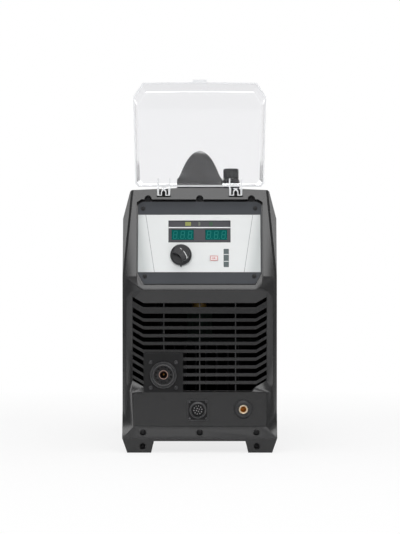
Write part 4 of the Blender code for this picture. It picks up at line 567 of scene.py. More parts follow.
finishes = {
    "mouldedCase": surface(
        (0.010, 0.010, 0.0105), (0.015, 0.015, 0.0155), 0.17, 1500.0, bump=0.22, bumpDepth=0.00008,
        wear=0.35, wearTone=(0.12, 0.12, 0.12), specular=0.66,
    ),
    "socketPlate": surface(
        (0.008, 0.008, 0.0085), (0.012, 0.012, 0.0125), 0.42, 1800.0, bump=0.25, bumpDepth=0.00008,
        wear=0.2, wearTone=(0.08, 0.08, 0.08), specular=0.25,
    ),
    "ringBlack": surface(
        (0.026, 0.026, 0.028), (0.040, 0.040, 0.042), 0.26, 2200.0, bump=0.15, bumpDepth=0.00004, wear=0.5,
        wearWidth=0.0006, wearTone=(0.18, 0.18, 0.18), drift=50.0, specular=1.0,
    ),
    "insertGrey": surface((0.048, 0.048, 0.050), (0.066, 0.066, 0.068), 0.40, 2200.0, bump=0.2, drift=60.0),
    "pinGrey": surface((0.50, 0.50, 0.51), (0.62, 0.62, 0.63), 0.34, 1600.0, bump=0.1, drift=90.0),
    "creamRing": surface((0.98, 0.80, 0.55), (0.99, 0.86, 0.65), 0.24, 1600.0, bump=0.08, drift=60.0),
    "sunkScrew": surface(
        (0.010, 0.010, 0.011), (0.018, 0.018, 0.019), 0.34, 1800.0, metal=0.3, bump=0.15, wear=0.3,
        wearWidth=0.0004, wearTone=(0.16, 0.16, 0.17), specular=0.4,
    ),
    # near-black foam: partly the foam's own colour, partly painted shade standing in for the dark inside of
    # the unit
    "foamPaintedShade": surface(
        (0.006, 0.006, 0.0065), (0.013, 0.013, 0.0135), 0.85, 700.0, bump=0.9, bumpDepth=0.0006,
        specular=0.1, drift=60.0, fleck=0.8,
    ),
    "boreBrown": surface(
        (0.018, 0.007, 0.004), (0.040, 0.014, 0.007), 0.45, 1600.0, bump=0.2, drift=90.0, specular=0.3,
    ),
    "boreAmber": surface(
        (0.66, 0.29, 0.035), (0.80, 0.40, 0.075), 0.40, 1600.0, metal=0.2, bump=0.2, drift=90.0,
    ),
    # clear plastic painted pale and opaque: painted light standing in for the glow carried through the
    # cover's legs, clips and sawn edge
    "paintedGlowClear": surface(
        (0.74, 0.75, 0.76), (0.82, 0.83, 0.84), 0.30, 1400.0, bump=0.10, drift=60.0, roughSpread=0.12,
    ),
    "hoseBlack": surface(
        (0.009, 0.009, 0.010), (0.014, 0.014, 0.015), 0.40, 900.0, bump=0.2, drift=40.0, specular=0.3,
    ),
    # a darkened copy of the amber tape: painted shade for the transformer winding inside the unit
    "tapeBrownPaintedShade": surface(
        (0.030, 0.017, 0.006), (0.050, 0.028, 0.010), 0.40, 420.0, stretch=(1.0, 1.0, 6.0), bump=0.35,
        drift=70.0,
    ),
    "coverPaint": surface(
        (0.045, 0.046, 0.049), (0.058, 0.059, 0.062), 0.42, 2100.0, bump=0.5, bumpDepth=0.00012, wear=0.5,
        wearTone=(0.30, 0.30, 0.31), fleck=0.5,
    ),
    "rearSheet": surface(
        (0.052, 0.053, 0.056), (0.064, 0.065, 0.068), 0.45, 2300.0, bump=0.45, wear=0.5,
        wearTone=(0.28, 0.28, 0.29),
    ),
    "trayMetal": surface(
        (0.42, 0.43, 0.44), (0.55, 0.55, 0.56), 0.30, 260.0, metal=1.0, stretch=(1.0, 0.06, 1.0), bump=0.12,
        wear=0.3, wearTone=(0.7, 0.7, 0.7), roughSpread=0.12,
    ),
    "plainSteel": surface(
        (0.50, 0.50, 0.51), (0.64, 0.64, 0.65), 0.20, 700.0, metal=1.0, bump=0.10, wear=0.3,
        wearTone=(0.8, 0.8, 0.8), roughSpread=0.12,
    ),
    "blackScrew": surface(
        (0.028, 0.028, 0.030), (0.050, 0.050, 0.052), 0.26, 1800.0, metal=0.6, bump=0.15, wear=0.9,
        wearWidth=0.0005, wearTone=(0.38, 0.38, 0.39), wearRough=-0.05,
    ),
    "panelGrey": surface(
        (0.050, 0.055, 0.063), (0.060, 0.065, 0.074), 0.42, 2600.0, bump=0.12, specular=0.25, wear=0.15,
        wearTone=(0.2, 0.2, 0.21),
    ),
    "screenGrey": surface(
        (0.064, 0.064, 0.073), (0.076, 0.075, 0.084), 0.38, 2600.0, bump=0.08, specular=0.25, wear=0.1,
        wearTone=(0.2, 0.2, 0.21),
    ),
    "modeBlock": surface(
        (0.070, 0.098, 0.100), (0.090, 0.120, 0.122), 0.28, 2600.0, bump=0.08, specular=0.4, drift=60.0,
    ),
    "tealGlass": surface(
        (0.0020, 0.092, 0.084), (0.0035, 0.122, 0.112), 0.34, 2400.0, bump=0.03, drift=40.0,
        roughSpread=0.04, specular=0.02,
    ),
    "tealSegment": surface(
        (0.018, 0.200, 0.172), (0.026, 0.240, 0.208), 0.40, 2400.0, bump=0.03, drift=70.0, specular=0.02,
    ),
    "lampGlow": surface(
        (0.26, 0.29, 0.09), (0.38, 0.40, 0.14), 0.40, 3000.0, bump=0.05, drift=220.0, specular=0.12,
    ),
    "lampPale": surface(
        (0.13, 0.15, 0.12), (0.19, 0.21, 0.17), 0.40, 3000.0, bump=0.05, drift=220.0, specular=0.12,
    ),
    "lampGreen": surface(
        (0.055, 0.100, 0.064), (0.072, 0.120, 0.080), 0.40, 3000.0, bump=0.05, drift=220.0, specular=0.12,
    ),
    "whiteInk": surface((0.78, 0.80, 0.80), (0.86, 0.87, 0.87), 0.45, 3000.0, bump=0.06, drift=60.0),
    "redInk": surface((0.62, 0.12, 0.13), (0.72, 0.20, 0.20), 0.45, 3000.0, bump=0.06, drift=90.0),
    "buttonFoil": surface((0.84, 0.74, 0.73), (0.88, 0.80, 0.79), 0.40, 2400.0, bump=0.10, drift=60.0),
    # the knob's lighter worn rim is partly real wear and partly a painted highlight for its rim glints
    "knobBlack": surface(
        (0.014, 0.014, 0.016), (0.024, 0.024, 0.027), 0.32, 2600.0, bump=0.20, bumpDepth=0.00006, wear=0.60,
        wearWidth=0.0007, wearTone=(0.24, 0.24, 0.25), drift=60.0, specular=0.35,
    ),
    "nylonBlack": surface(
        (0.018, 0.018, 0.020), (0.030, 0.030, 0.032), 0.30, 2200.0, bump=0.25, bumpDepth=0.00006, wear=0.5,
        wearWidth=0.0007, wearTone=(0.13, 0.13, 0.13), drift=50.0,
    ),
    "turnedBrass": surface(
        (0.78, 0.50, 0.20), (0.86, 0.60, 0.28), 0.20, 1600.0, metal=1.0, bump=0.12, drift=60.0, wear=0.5,
        wearWidth=0.0004, wearTone=(0.95, 0.78, 0.50), roughSpread=0.12,
    ),
    "turnedCopper": surface(
        (0.80, 0.50, 0.42), (0.90, 0.62, 0.54), 0.28, 1600.0, metal=0.8, bump=0.12, drift=60.0, wear=0.6,
        wearWidth=0.0004, wearTone=(0.96, 0.74, 0.64), roughSpread=0.12,
    ),
    "castMetal": surface(
        (0.46, 0.47, 0.48), (0.58, 0.59, 0.60), 0.36, 1100.0, metal=0.9, bump=0.55, bumpDepth=0.00016,
        drift=40.0, wear=0.4, wearTone=(0.78, 0.78, 0.78),
    ),
    "finnedMetal": surface(
        (0.020, 0.020, 0.022), (0.034, 0.034, 0.037), 0.38, 500.0, metal=0.6, stretch=(1.0, 0.05, 1.0),
        bump=0.15, roughSpread=0.12,
    ),
    "redPlastic": surface(
        (0.46, 0.016, 0.014), (0.56, 0.026, 0.022), 0.28, 2200.0, bump=0.15, wear=0.3,
        wearTone=(0.70, 0.20, 0.18), drift=60.0,
    ),
    "dialWhite": surface((0.80, 0.80, 0.78), (0.86, 0.86, 0.85), 0.45, 3000.0, bump=0.06, drift=60.0),
    "blackInk": surface((0.020, 0.020, 0.022), (0.032, 0.032, 0.034), 0.45, 3000.0, bump=0.06),
    "hoseBlue": surface(
        (0.020, 0.080, 0.300), (0.030, 0.110, 0.370), 0.26, 900.0, bump=0.15, drift=40.0, coat=0.2,
    ),
    # near-black: the parts' own dark grey, darkened further as painted shade of the unit's inside seen
    # through the louvres
    "coreGreyPaintedShade": surface(
        (0.009, 0.009, 0.010), (0.016, 0.016, 0.017), 0.60, 900.0, bump=0.4, drift=40.0, wear=0.3,
        wearTone=(0.06, 0.06, 0.065), specular=0.2,
    ),
    "amberTape": surface(
        (0.62, 0.36, 0.06), (0.74, 0.47, 0.12), 0.26, 420.0, stretch=(1.0, 1.0, 6.0), bump=0.35, drift=70.0,
        coat=0.3,
    ),
}
for lookName, finish in finishes.items():
    looks[lookName] = solidLook(lookName, finish)

clearPlastic = {"drift": 9.0, "fleck": 0.1, "bump": 0.04, "bumpDepth": 0.00005}
clearFinishes = {
    "clearCover": surface(
        (0.835, 0.836, 0.850), (0.855, 0.856, 0.870), 0.010, 60.0, roughSpread=0.02,
        stretch=(1.0, 1.0, 12.0), ior=1.15, shadow=(0.90, 0.90, 0.91), **clearPlastic
    ),
    "gaugeGlass": surface(
        (0.95, 0.96, 0.96), (0.97, 0.98, 0.98), 0.010, 300.0, roughSpread=0.02, stretch=(1.0, 1.0, 8.0),
        ior=1.47, shadow=(0.95, 0.95, 0.95), **clearPlastic
    ),
    "smokedBowl": surface(
        (0.72, 0.75, 0.78), (0.78, 0.80, 0.83), 0.030, 200.0, roughSpread=0.05, stretch=(1.0, 1.0, 5.0),
        ior=1.50, shadow=(0.75, 0.78, 0.80), **clearPlastic
    ),
}
for lookName, finish in clearFinishes.items():
    looks[lookName] = clearLook(lookName, finish)


def foilLook():
    # pale foil: greyer outside two thin slanting lines
    finish = surface(
        (0.80, 0.82, 0.815), (0.84, 0.855, 0.85), 0.38, 2600.0, bump=0.12, specular=0.4, drift=20.0,
        fleck=0.2,
    )
    lines = {
        "centre": -0.0007, "atFoot": 0.0752, "footZ": 0.3004, "slope": 0.155, "half": 0.00042, "fade": 60.0,
        "tone": (0.34, 0.35, 0.36), "outside": (0.62, 0.65, 0.645),
    }
    look, tree, shader = newLook("paleFoil")
    colour = addSurface(tree, shader, finish)
    split = tree.nodes.new("ShaderNodeSeparateXYZ")
    tree.links.new(objectPoint(tree), split.inputs[0])
    across = mathNode(tree, "ABSOLUTE", mathNode(tree, "SUBTRACT", split.outputs["X"], lines["centre"]))
    up = mathNode(tree, "SUBTRACT", split.outputs["Z"], lines["footZ"])
    edge = mathNode(tree, "MULTIPLY_ADD", up, lines["slope"], lines["atFoot"])
    past = mathNode(tree, "SUBTRACT", across, edge)
    outside = mathNode(tree, "MULTIPLY", past, lines["fade"], clamp=True)
    shaded = mixColour(tree, outside, colour, lines["outside"])
    onLine = mathNode(tree, "LESS_THAN", mathNode(tree, "ABSOLUTE", past), lines["half"])
    tree.links.new(mixColour(tree, onLine, shaded, lines["tone"]), shader.inputs["Base Color"])
    return look


looks["paleFoil"] = foilLook()


def boardLook():
    # solder mask with lighter copper tracks under it, both darkened as painted shade of the unit's inside
    finish = surface(
        (0.002, 0.015, 0.008), (0.003, 0.021, 0.011), 0.44, 1500.0, bump=0.12, drift=30.0, specular=0.2,
    )
    track = {"scale": 60.0, "line": 0.04, "tone": (0.007, 0.040, 0.019)}
    look, tree, shader = newLook("boardGreenPaintedShade")
    colour = addSurface(tree, shader, finish)
    tracks = tree.nodes.new("ShaderNodeTexBrick")
    tracks.inputs["Scale"].default_value = track["scale"]
    tracks.inputs["Mortar Size"].default_value = track["line"]
    tree.links.new(objectPoint(tree), tracks.inputs["Vector"])
    tree.links.new(
        mixColour(tree, tracks.outputs["Fac"], colour, track["tone"]), shader.inputs["Base Color"],
    )
    return look


looks["boardGreenPaintedShade"] = boardLook()
print("finishes made:", len(looks))

# case
caseShells = {
    "front_bezel": ("frontFrame", "mouldedCase", "bezel_plastic", 0.0009),
    "rear_bezel": ("rearFrame", "mouldedCase", "bezel_plastic", 0.0009),
    "cover": ("sideCover", "coverPaint", "cover_paint", 0.0003),
    "rear_panel": ("rearSheet", "rearSheet", "steel_sheet", 0.0003),
    "base_tray": ("floorTray", "trayMetal", "tray_steel", 0.0003),
    "handle": ("carryHandle", "mouldedCase", "bezel_plastic", 0.0012),
}
for nodeName, (name, look, slot, edge) in caseShells.items():
    refined(nodeName, name, look, edge)

caseScrews = {
    "low": [(-0.0945, 0.0330), (0.0, 0.0330), (0.0945, 0.0330)],
    "seat": 0.0003,
    "top": [(-0.0870, 0.4236), (0.0, 0.4236), (0.0870, 0.4236)],
    "topIn": 0.0115,
    "rearLeanFrom": 0.425,
    "foot": [(-0.0950, 0.0108), (0.0950, 0.0108)],
    "radius": 0.0042,
    "high": 0.0030,
    "lipOut": 0.012,
    "rimInner": 0.0056,
    "rimOuter": 0.0076,
    "rimHigh": 0.0005,
    "lipTilt": math.atan2(0.012, 0.018),
}


def bezelScrewPlaces(side):
    places = []
    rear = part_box("rear_bezel")[1].y
    for x, z in caseScrews["low"] + caseScrews["foot"]:
        if side == "front":
            places.append(frontAt(x, z, caseScrews["seat"]))
        else:
            places.append(rearAt(x, z, rear - caseScrews["lipOut"] + caseScrews["seat"]))
    for x, z in caseScrews["top"]:
        leanFrom = unit["consoleFoot"] if side == "front" else caseScrews["rearLeanFrom"]
        slope = max(0.0, z - leanFrom) * math.tan(lean)
        inside = slope + caseScrews["topIn"]
        if side == "front":
            places.append(frontAt(x, z, -inside))
        else:
            places.append(rearAt(x, z, rear - caseScrews["lipOut"] - inside))
    return places


for side in ("front", "rear"):
    places = bezelScrewPlaces(side)
    screwSet(
        side + "FrameScrews", caseScrews["radius"], caseScrews["high"], places, "sunkScrew", "hex", 0.00025,
    )

rim = lathe(
    [
        (caseScrews["rimInner"], -0.0008),
        (caseScrews["rimOuter"], -0.0008),
        (caseScrews["rimOuter"], 0.0001),
        (caseScrews["rimOuter"] - 0.0004, caseScrews["rimHigh"]),
        (caseScrews["rimInner"] + 0.0004, caseScrews["rimHigh"]),
        (caseScrews["rimInner"], 0.0001),
    ],
    40,
)
rimPlaces = [frontAt(x, z, 0.0060, caseScrews["lipTilt"]) for x, z in caseScrews["low"]]
finishPiece(copies(rim, rimPlaces), "lowScrewRims", "mouldedCase", edge=0.00015)

sideScrews = {
    "y": [-0.235, -0.090, 0.055, 0.175], "z": [0.046, 0.372], "radius": 0.0038, "high": 0.0017, "x": 0.1256,
}
places = [
    sideAt(side, y, z, sideScrews["x"])
    for side in (-1, 1)
    for y in sideScrews["y"]
    for z in sideScrews["z"]
]
screwSet("coverScrews", sideScrews["radius"], sideScrews["high"], places)

# dark mats behind the side vents: partly dust mats, partly painted shade for the dark inside seen through
# the vents
vents = {"y": [-0.11915, 0.06085], "z": 0.153, "long": 0.122, "high": 0.128, "thick": 0.0014, "x": 0.1202}
mat = slab(vents["long"], vents["high"], vents["thick"], 0.004, 3)
places = [sideAt(side, y, vents["z"], vents["x"]) for side in (-1, 1) for y in vents["y"]]
finishPiece(copies(mat, places), "ventMats", "foamPaintedShade", edge=0.0003)
print("case done")

# handle
handleParts = {"front": -0.21315, "rear": 0.15485, "seat": 0.4575, "radius": 0.0068, "high": 0.0042}
places = [topAt(0, handleParts[end], handleParts["seat"]) for end in ("front", "rear")]
screwSet("handleScrews", handleParts["radius"], handleParts["high"], places, "sunkScrew", "hex", 0.0003)
print("handle done")

# clear cover
for side in ("left", "right"):
    refined("hinge_pin_" + side, "hingePin" + side.title(), "sunkScrew", 0.0002)

hinge = {
    "x": 0.0607, "z": 0.4365, "sink": 0.0045, "rimDepth": 0.0050, "legOut": 0.0100, "legThick": 0.0024,
    "pinHole": 0.0022, "rimThick": 0.00025, "clipThick": 0.0014, "clipDepth": -0.0034, "clipFoot": -0.0086,
    "leg": [
        (-0.0034, -0.0080), (-0.0053, 0.0), (-0.0056, 0.0040), (-0.0030, 0.0078), (0.0054, 0.0106),
        (0.0061, 0.0247), (0.0127, 0.0247), (0.0097, 0.0095), (0.0040, 0.0), (0.0028, -0.0028),
        (0.0, -0.0040),
    ],
    "clip": [
        (0.0015, 0.0117), (0.0038, 0.0086), (0.0047, 0.0062), (0.0047, 0.0015), (0.0077, 0.0015),
        (0.0077, 0.0124), (0.0111, 0.0124), (0.0111, 0.0008), (0.0103, 0.0), (0.0027, 0.0),
        (0.0027, 0.0054), (0.0021, 0.0072),
    ],
    "clipTop": 0.0129,
    "clipInside": 0.0092,
    "hook": (0.0080, 0.0099, 0.0145, -0.0050),
}
hingeUp = (hinge["z"] - unit["consoleFoot"] + hinge["sink"] * math.sin(lean)) / math.cos(lean)
hingeFrame = consoleFrame @ Matrix.Translation((0, hinge["sink"], hingeUp))
hingePlaces = [hingeFrame @ Matrix.Translation((x, 0, 0)) for x in (-hinge["x"], hinge["x"])]


def coverLegs():
    # clear plates over the cover's four legs and their ribs, painted pale and opaque as painted light
    # carried through the clear plastic
    legs = []
    for x in (-hinge["x"], hinge["x"]):
        for side in (-1, 1):
            leg = shifted(plate(hinge["leg"], hinge["legThick"]), z=-hinge["legThick"] / 2)
            leg = carve(leg, [post(hinge["pinHole"], -0.01, 0.01, 24)])
            across = Matrix.Translation((x + side * hinge["legOut"], 0, 0)) @ Matrix(
                ((0, 0, 1, 0), (1, 0, 0, 0), (0, 1, 0, 0), (0, 0, 0, 1))
            )
            legs.append(moved(leg, hingeFrame @ across))
    return merged(legs)


def coverClips():
    # bent clips between the legs: an arch over the middle, feet out to the legs; clear plastic painted pale
    # and opaque as painted light carried through it
    half = hinge["clip"]
    mirrored = [(-x, y) for x, y in reversed(half)]
    outline = [(0, hinge["clipTop"])] + half + [(0, hinge["clipInside"])] + mirrored
    foot = Matrix.Translation((0, hinge["clipDepth"], hinge["clipFoot"]))
    foot = foot @ Matrix.Rotation(lean, 4, "X") @ upright
    return copies(plate(outline, hinge["clipThick"]), [place @ foot for place in hingePlaces])


def coverRim():
    # sawn edge of the cover, partly its real frosting and partly painted highlight for the clear plastic's
    # bright edge lines and glints, grown from the faces that lie in its rim
    bm = mergedCopy("panel_cover")
    outward = hingeFrame.to_3x3() @ Vector((0, -1, 0))
    away = []
    for face in bm.faces:
        depth = (hingeFrame.inverted() @ face.calc_center_median()).y
        if face.normal.dot(outward) < 0.999 or abs(depth - hinge["rimDepth"]) > 0.0001:
            away.append(face)
    bmesh.ops.delete(bm, geom=away, context="FACES")
    grown(bm, outward * hinge["rimThick"], True)
    bmesh.ops.dissolve_limit(
        bm, angle_limit=math.radians(0.6), verts=bm.verts, edges=bm.edges, delimit={"NORMAL"},
    )
    return bm


def clipRoom():
    # the cover's plain hook blocks, which the bent clips stand in for
    wide, deep, high, low = hinge["hook"]
    block = shifted(slab(wide, deep, high), z=low)
    return [moved(block.copy(), place) for place in hingePlaces]


refined("panel_cover", "clearCover", "clearCover", 0.0006, cutters=clipRoom())
finishPiece(coverLegs(), "coverLegs", "paintedGlowClear", "panel_cover", edge=0.0002)
finishPiece(coverClips(), "coverClips", "paintedGlowClear", "panel_cover", edge=0.0003)
finishPiece(coverRim(), "coverRim", "paintedGlowClear", "panel_cover")
print("clear cover done")

# control panel
panelShells = {
    "control_panel": ("panelPlate", "panelGrey", "dark_window", 0.0004),
    "panel_foil": ("panelFoil", "paleFoil", "panel_foil", 0.00012),
    "display_frame": ("displaySurround", "screenGrey", "dark_window", 0.0002),
    "indicator_window": ("lampStrip", "screenGrey", "dark_window", 0.0002),
    "display_left": ("leftDisplay", "tealGlass", "display_teal", 0.0002),
    "display_right": ("rightDisplay", "tealGlass", "display_teal", 0.0002),
    "mode_window": ("modeStrip", "modeBlock", "dark_window", 0.0002),
    "mode_button": ("buttonCap", "buttonFoil", "button_foil", 0.0004),
}
for nodeName, (name, look, slot, edge) in panelShells.items():
    refined(nodeName, name, look, edge)

digit = {
    "wide": 0.0058, "high": 0.0140, "bar": 0.0013, "thick": 0.00012, "pitch": 0.0124, "lean": 6.0,
    "depth": panelSink + 0.0006, "centres": {"left": -0.0287, "right": 0.02775}, "z": 0.3629, "dot": 0.0008,
}
for side, centre in digit["centres"].items():
    figures = []
    for place in (-1, 0, 1):
        figure = segmentDigit(digit["wide"], digit["high"], digit["bar"], digit["thick"])
        point = shifted(
            post(digit["dot"], 0, digit["thick"], 16), digit["wide"] * 0.86, -digit["high"] * 0.46,
        )
        for corner in figure.verts:
            corner.co.x += corner.co.y * math.tan(math.radians(digit["lean"]))
        figures.append(shifted(merged([figure, point]), place * digit["pitch"]))
    spot = consoleAt(centre, digit["z"], digit["depth"])
    finishPiece(merged(figures), side + "Digits", "tealSegment", place=spot)

panelMarks = {
    "divider": {"z": 0.3751, "wide": 0.1040, "high": 0.0020, "thick": 0.00025},
    "lamps": {"z": 0.3814, "depth": panelSink + 0.0004, "high": 0.0066, "thick": 0.0003},
    "modeGaps": {"z": (0.3299, 0.3183), "wide": 0.0080, "high": 0.0011, "x": 0.0445, "thick": 0.00015},
}
divider = panelMarks["divider"]
bar = slab(divider["wide"], divider["high"], divider["thick"])
finishPiece(
    bar, "displayDivider", "whiteInk", place=consoleAt(-0.00035, divider["z"]), edge=0.0001,
)
lamps = panelMarks["lamps"]
for name, x, wide, look in (
    ("readyLamp", -0.0195, 0.0098, "lampGlow"),
    ("airLamp", -0.0006, 0.0034, "lampPale"),
    ("arcLamp", 0.0188, 0.0060, "lampGreen"),
):
    lamp = slab(wide, lamps["high"], lamps["thick"], 0.0008)
    spot = consoleAt(x, lamps["z"], lamps["depth"])
    finishPiece(lamp, name, look, place=spot, edge=0.0001)
gaps = panelMarks["modeGaps"]
strips = []
for z in gaps["z"]:
    strip = slab(gaps["wide"], gaps["high"], gaps["thick"])
    strips.append(moved(strip, consoleAt(gaps["x"], z, panelSink - 0.0004)))
finishPiece(merged(strips), "modeGaps", "whiteInk", edge=0.00005)

button = {
    "x": 0.0240, "z": 0.3238, "depth": panelSink - 0.0012, "wide": 0.0124, "high": 0.0082, "line": 0.0007,
}
spot = consoleAt(button["x"], button["z"] - 0.0002, button["depth"])
ring = outlineRing(button["wide"], button["high"], button["line"], 0.00015, 0.0012)
arrowHead = turned(post(0.0017, 0, 0.00015, 3), -90)
arrowTail = shifted(slab(0.0034, 0.0011, 0.00015), -0.0019)
finishPiece(ring, "buttonOutline", "redInk", "mode_button", spot)
finishPiece(
    merged([shifted(arrowHead, 0.0009), arrowTail]), "buttonArrow", "redInk", "mode_button",
    spot,
)

panelScrews = {
    "spots": [(-0.0953, 0.4072), (0.0933, 0.4077), (-0.0918, 0.2931), (0.0911, 0.2934)],
    "radius": 0.0031,
    "turns": (0.5, 1.1, 0.2, 0.8),
    "high": 0.0016,
}
panelHead = screwHead(panelScrews["radius"], panelScrews["high"], "cross")
washer = turning([(0, 0), (4, 0), (4, 0.4), (0, 0.4)], 32)
seated = merged([shifted(panelHead, z=0.0003), washer])
places = []
for (x, z), angle in zip(panelScrews["spots"], panelScrews["turns"]):
    places.append(consoleAt(x, z) @ Matrix.Rotation(angle, 4, "Z"))
finishPiece(copies(seated, places), "panelScrews", "sunkScrew", edge=0.0002)
print("control panel done")

# adjusting knob
knob = {
    "x": -0.0314, "z": 0.3283, "radius": 0.0180, "foot": 0.0018, "skirt": 0.0058, "top": 0.0183,
    "wingHalf": 0.0058, "wingTurn": -42.0, "neck": 0.0052, "shaft": 0.0034, "pointer": 0.0066,
    "pointerTip": 0.0215, "scoop": 0.0150, "scoopLean": 6,
}
skirt = lathe(
    [
        (knob["neck"], knob["foot"]),
        (knob["radius"] - 0.0004, knob["foot"]),
        (knob["radius"], knob["foot"] + 0.0006),
        (knob["radius"], knob["skirt"] - 0.0010),
        (knob["radius"] - 0.0010, knob["skirt"]),
        (knob["radius"] * 0.86, knob["skirt"] + 0.0007),
        (knob["radius"] * 0.80, knob["skirt"] + 0.0022),
        (knob["radius"] * 0.76, knob["top"] - 0.0022),
        (knob["radius"] * 0.66, knob["top"] - 0.0004),
        (knob["radius"] * 0.40, knob["top"]),
        (knob["shaft"], knob["top"]),
        (knob["shaft"], knob["foot"] + 0.0040),
        (knob["neck"], knob["foot"] + 0.0038),
    ],
    96,
)
capRadius = knob["shaft"] + 0.0006
low, high = knob["top"] - 0.0040, knob["top"] - 0.00005
cap = lathe([(0, low), (capRadius, low), (capRadius, high), (0, high)], 48)
scoops = []
for side in (-1, 1):
    hollow = turned(post(knob["scoop"], -0.020, 0.020, 64), knob["scoopLean"] * side, "Y")
    reach = knob["wingHalf"] + knob["scoop"]
    scoops.append(shifted(hollow, side * reach, 0, knob["skirt"] + 0.0205))
knobBody = turned(carve(skirt, scoops), knob["wingTurn"] + 90)
spot = consoleAt(knob["x"], knob["z"])
pointer = turned(post(knob["pointer"], knob["foot"] + 0.0002, knob["foot"] + 0.0030, 3), 180)
pointer = shifted(pointer, 0, knob["pointer"] - knob["pointerTip"])

# the white line is cut out of a copy of the knob that stands just above it
mark = {
    "line": 0.0010, "proud": 0.00015, "low": 0.012,
    "points": [
        (-0.0010, 0.0078), (0.0030, 0.0046), (0.0062, 0.0006), (0.0084, -0.0034), (0.0100, -0.0066),
        (0.0103, -0.0082), (0.0094, -0.0092),
    ],
}
line = shifted(ribbon(mark["points"], mark["line"], 0.012), z=mark["low"])
line = carve(line, [shifted(knobBody.copy(), z=mark["proud"])], "INTERSECT")
finishPiece(
    merged([knobBody, cap, pointer]), "adjustKnob", "knobBlack", "control_knob", spot,
    0.00035, stands=("control_knob",),
)
finishPiece(line, "knobMark", "whiteInk", "control_knob", spot)
print("knob done")

# torch socket
torch = {
    "x": -0.0606, "z": 0.1285, "screws": 0.0211, "screwRadius": 0.0034, "screwTurns": (-0.4, 0.0, 0.6, 1.0),
    "plate": (-0.0934, -0.0281, 0.0995, 0.1653), "plateThick": 0.00025,
    "holes": 12, "holeRing": 0.0126, "hole": 0.0019,
}
spot = frontAt(torch["x"], torch["z"])
ring = turning(
    [
        (15.6, 0.6), (15.8, 2.6), (16.3, 3.8), (17, 4.2), (17.8, 3.8), (18.5, 2.4), (19, 0.3), (20, 0.3),
        (20.3, 2.2), (20.9, 3), (21.7, 2.9), (22.5, 1.6), (22.5, -0.7), (19, -0.7), (19, -36), (15.7, -36),
    ],
    96,
)
finishPiece(ring, "torchRing", "ringBlack", place=spot, stands=("torch_socket_flange",))
disc = turning([(7.7, -10), (15.4, -10), (15.4, -34), (7.7, -34)], 72)
holes = []
for step in range(torch["holes"]):
    angle = 2 * math.pi * (step + 0.5) / torch["holes"]
    x, z = torch["holeRing"] * math.cos(angle), torch["holeRing"] * math.sin(angle)
    holes.append(shifted(post(torch["hole"], -0.018, 0.0, 20), x, z))
finishPiece(
    carve(disc, holes), "torchInsert", "insertGrey", place=spot, edge=0.0002,
    stands=("torch_socket_insulator",),
)
tube = turning(
    [
        (0, -32), (6.5, -32), (6.5, -5.2), (6.7, -4.8), (7.2, -4.8), (7.6, -5.4), (7.6, -42), (0, -42),
    ],
    72,
)
finishPiece(tube, "torchTube", "turnedCopper", place=spot, stands=("torch_socket_contact",))
liner = turning([(5.3, -6.2), (6.5, -5.6), (6.5, -31.8), (0, -31.8), (0, -30), (5.3, -30)], 48)
finishPiece(liner, "torchTubeLiner", "boreBrown", place=spot)
pin = turning([(0, -17), (1, -17.2), (1.6, -18.2), (1.7, -30), (0, -30)], 32)
finishPiece(pin, "torchPin", "boreAmber", place=spot)
left, right, low, high = torch["plate"]
back = shifted(
    slab(right - left, high - low, torch["plateThick"], 0.0006, 2), (left + right) / 2, (low + high) / 2,
)
ringHole = shifted(post(0.0206, -0.01, 0.01, 64), torch["x"], torch["z"])
finishPiece(
    carve(back, [ringHole]), "torchPlate", "socketPlate", place=frontAt(0, 0, -0.0010),
)
places = []
for (x, z), angle in zip(square(torch["screws"]), torch["screwTurns"]):
    places.append(frontAt(torch["x"] + x, torch["z"] + z, -0.0010) @ Matrix.Rotation(angle, 4, "Z"))
screwSet("torchScrews", torch["screwRadius"], 0.0020, places)

# control socket
control = {
    "x": -0.0030, "z": 0.0700, "half": 0.0180, "corner": 0.003, "screws": 0.0138, "bore": 0.0113,
    "frame": 0.0345, "pins": {4: 0.0026, 10: 0.0068}, "pinHole": 0.0014,
}
spot = frontAt(control["x"], control["z"])
backPlate = shifted(slab(control["half"] * 2, control["half"] * 2, 0.0019, control["corner"], 1), z=-0.0007)
frameLine = shifted(outlineRing(control["frame"], control["frame"], 0.0011, 0.0004, 0.0020), z=0.0012)
barrel = turning([(11.3, 5), (11.7, 5), (11.9, 4.6), (12.8, 4), (12.8, -22), (11.3, -22)], 72)
backPlate = carve(backPlate, [post(control["bore"], -0.010, 0.010, 64)])
collar = turning([(12.7, 1.1), (14.2, 1.1), (13.8, 2), (12.7, 2.2)], 72)
finishPiece(
    backPlate, "controlSocket", "socketPlate", place=spot, edge=0.0003,
    stands=("cnc_socket_shell",),
)
finishPiece(
    merged([frameLine, barrel, collar]), "controlRings", "ringBlack", place=spot,
    edge=0.0003,
)
insert = turning([(0, -7), (9.8, -7), (10.4, -7.6), (11, -7.8), (11, -21), (0, -21)], 64)
pinHoles = []
pins = []
for count, ring in control["pins"].items():
    for step in range(count):
        angle = 2 * math.pi * (step + 0.25) / count
        x, z = ring * math.cos(angle), ring * math.sin(angle)
        pinHoles.append(shifted(post(control["pinHole"], -0.0085, -0.004, 16), x, z))
        pin = turning([(0, -2.2), (0.5, -2.2), (0.9, -2.8), (0.9, -8.4), (0, -8.4)], 12)
        pins.append(shifted(pin, x, z))
finishPiece(
    carve(insert, pinHoles), "controlInsert", "nylonBlack", place=spot, edge=0.0002,
    stands=("cnc_socket_insert",),
)
finishPiece(merged(pins), "controlPins", "pinGrey", place=spot)
places = [frontAt(control["x"] + x, control["z"] + z, 0.0012) for x, z in square(control["screws"])]
screwSet("controlScrews", 0.0019, 0.0011, places, edge=0.00015)

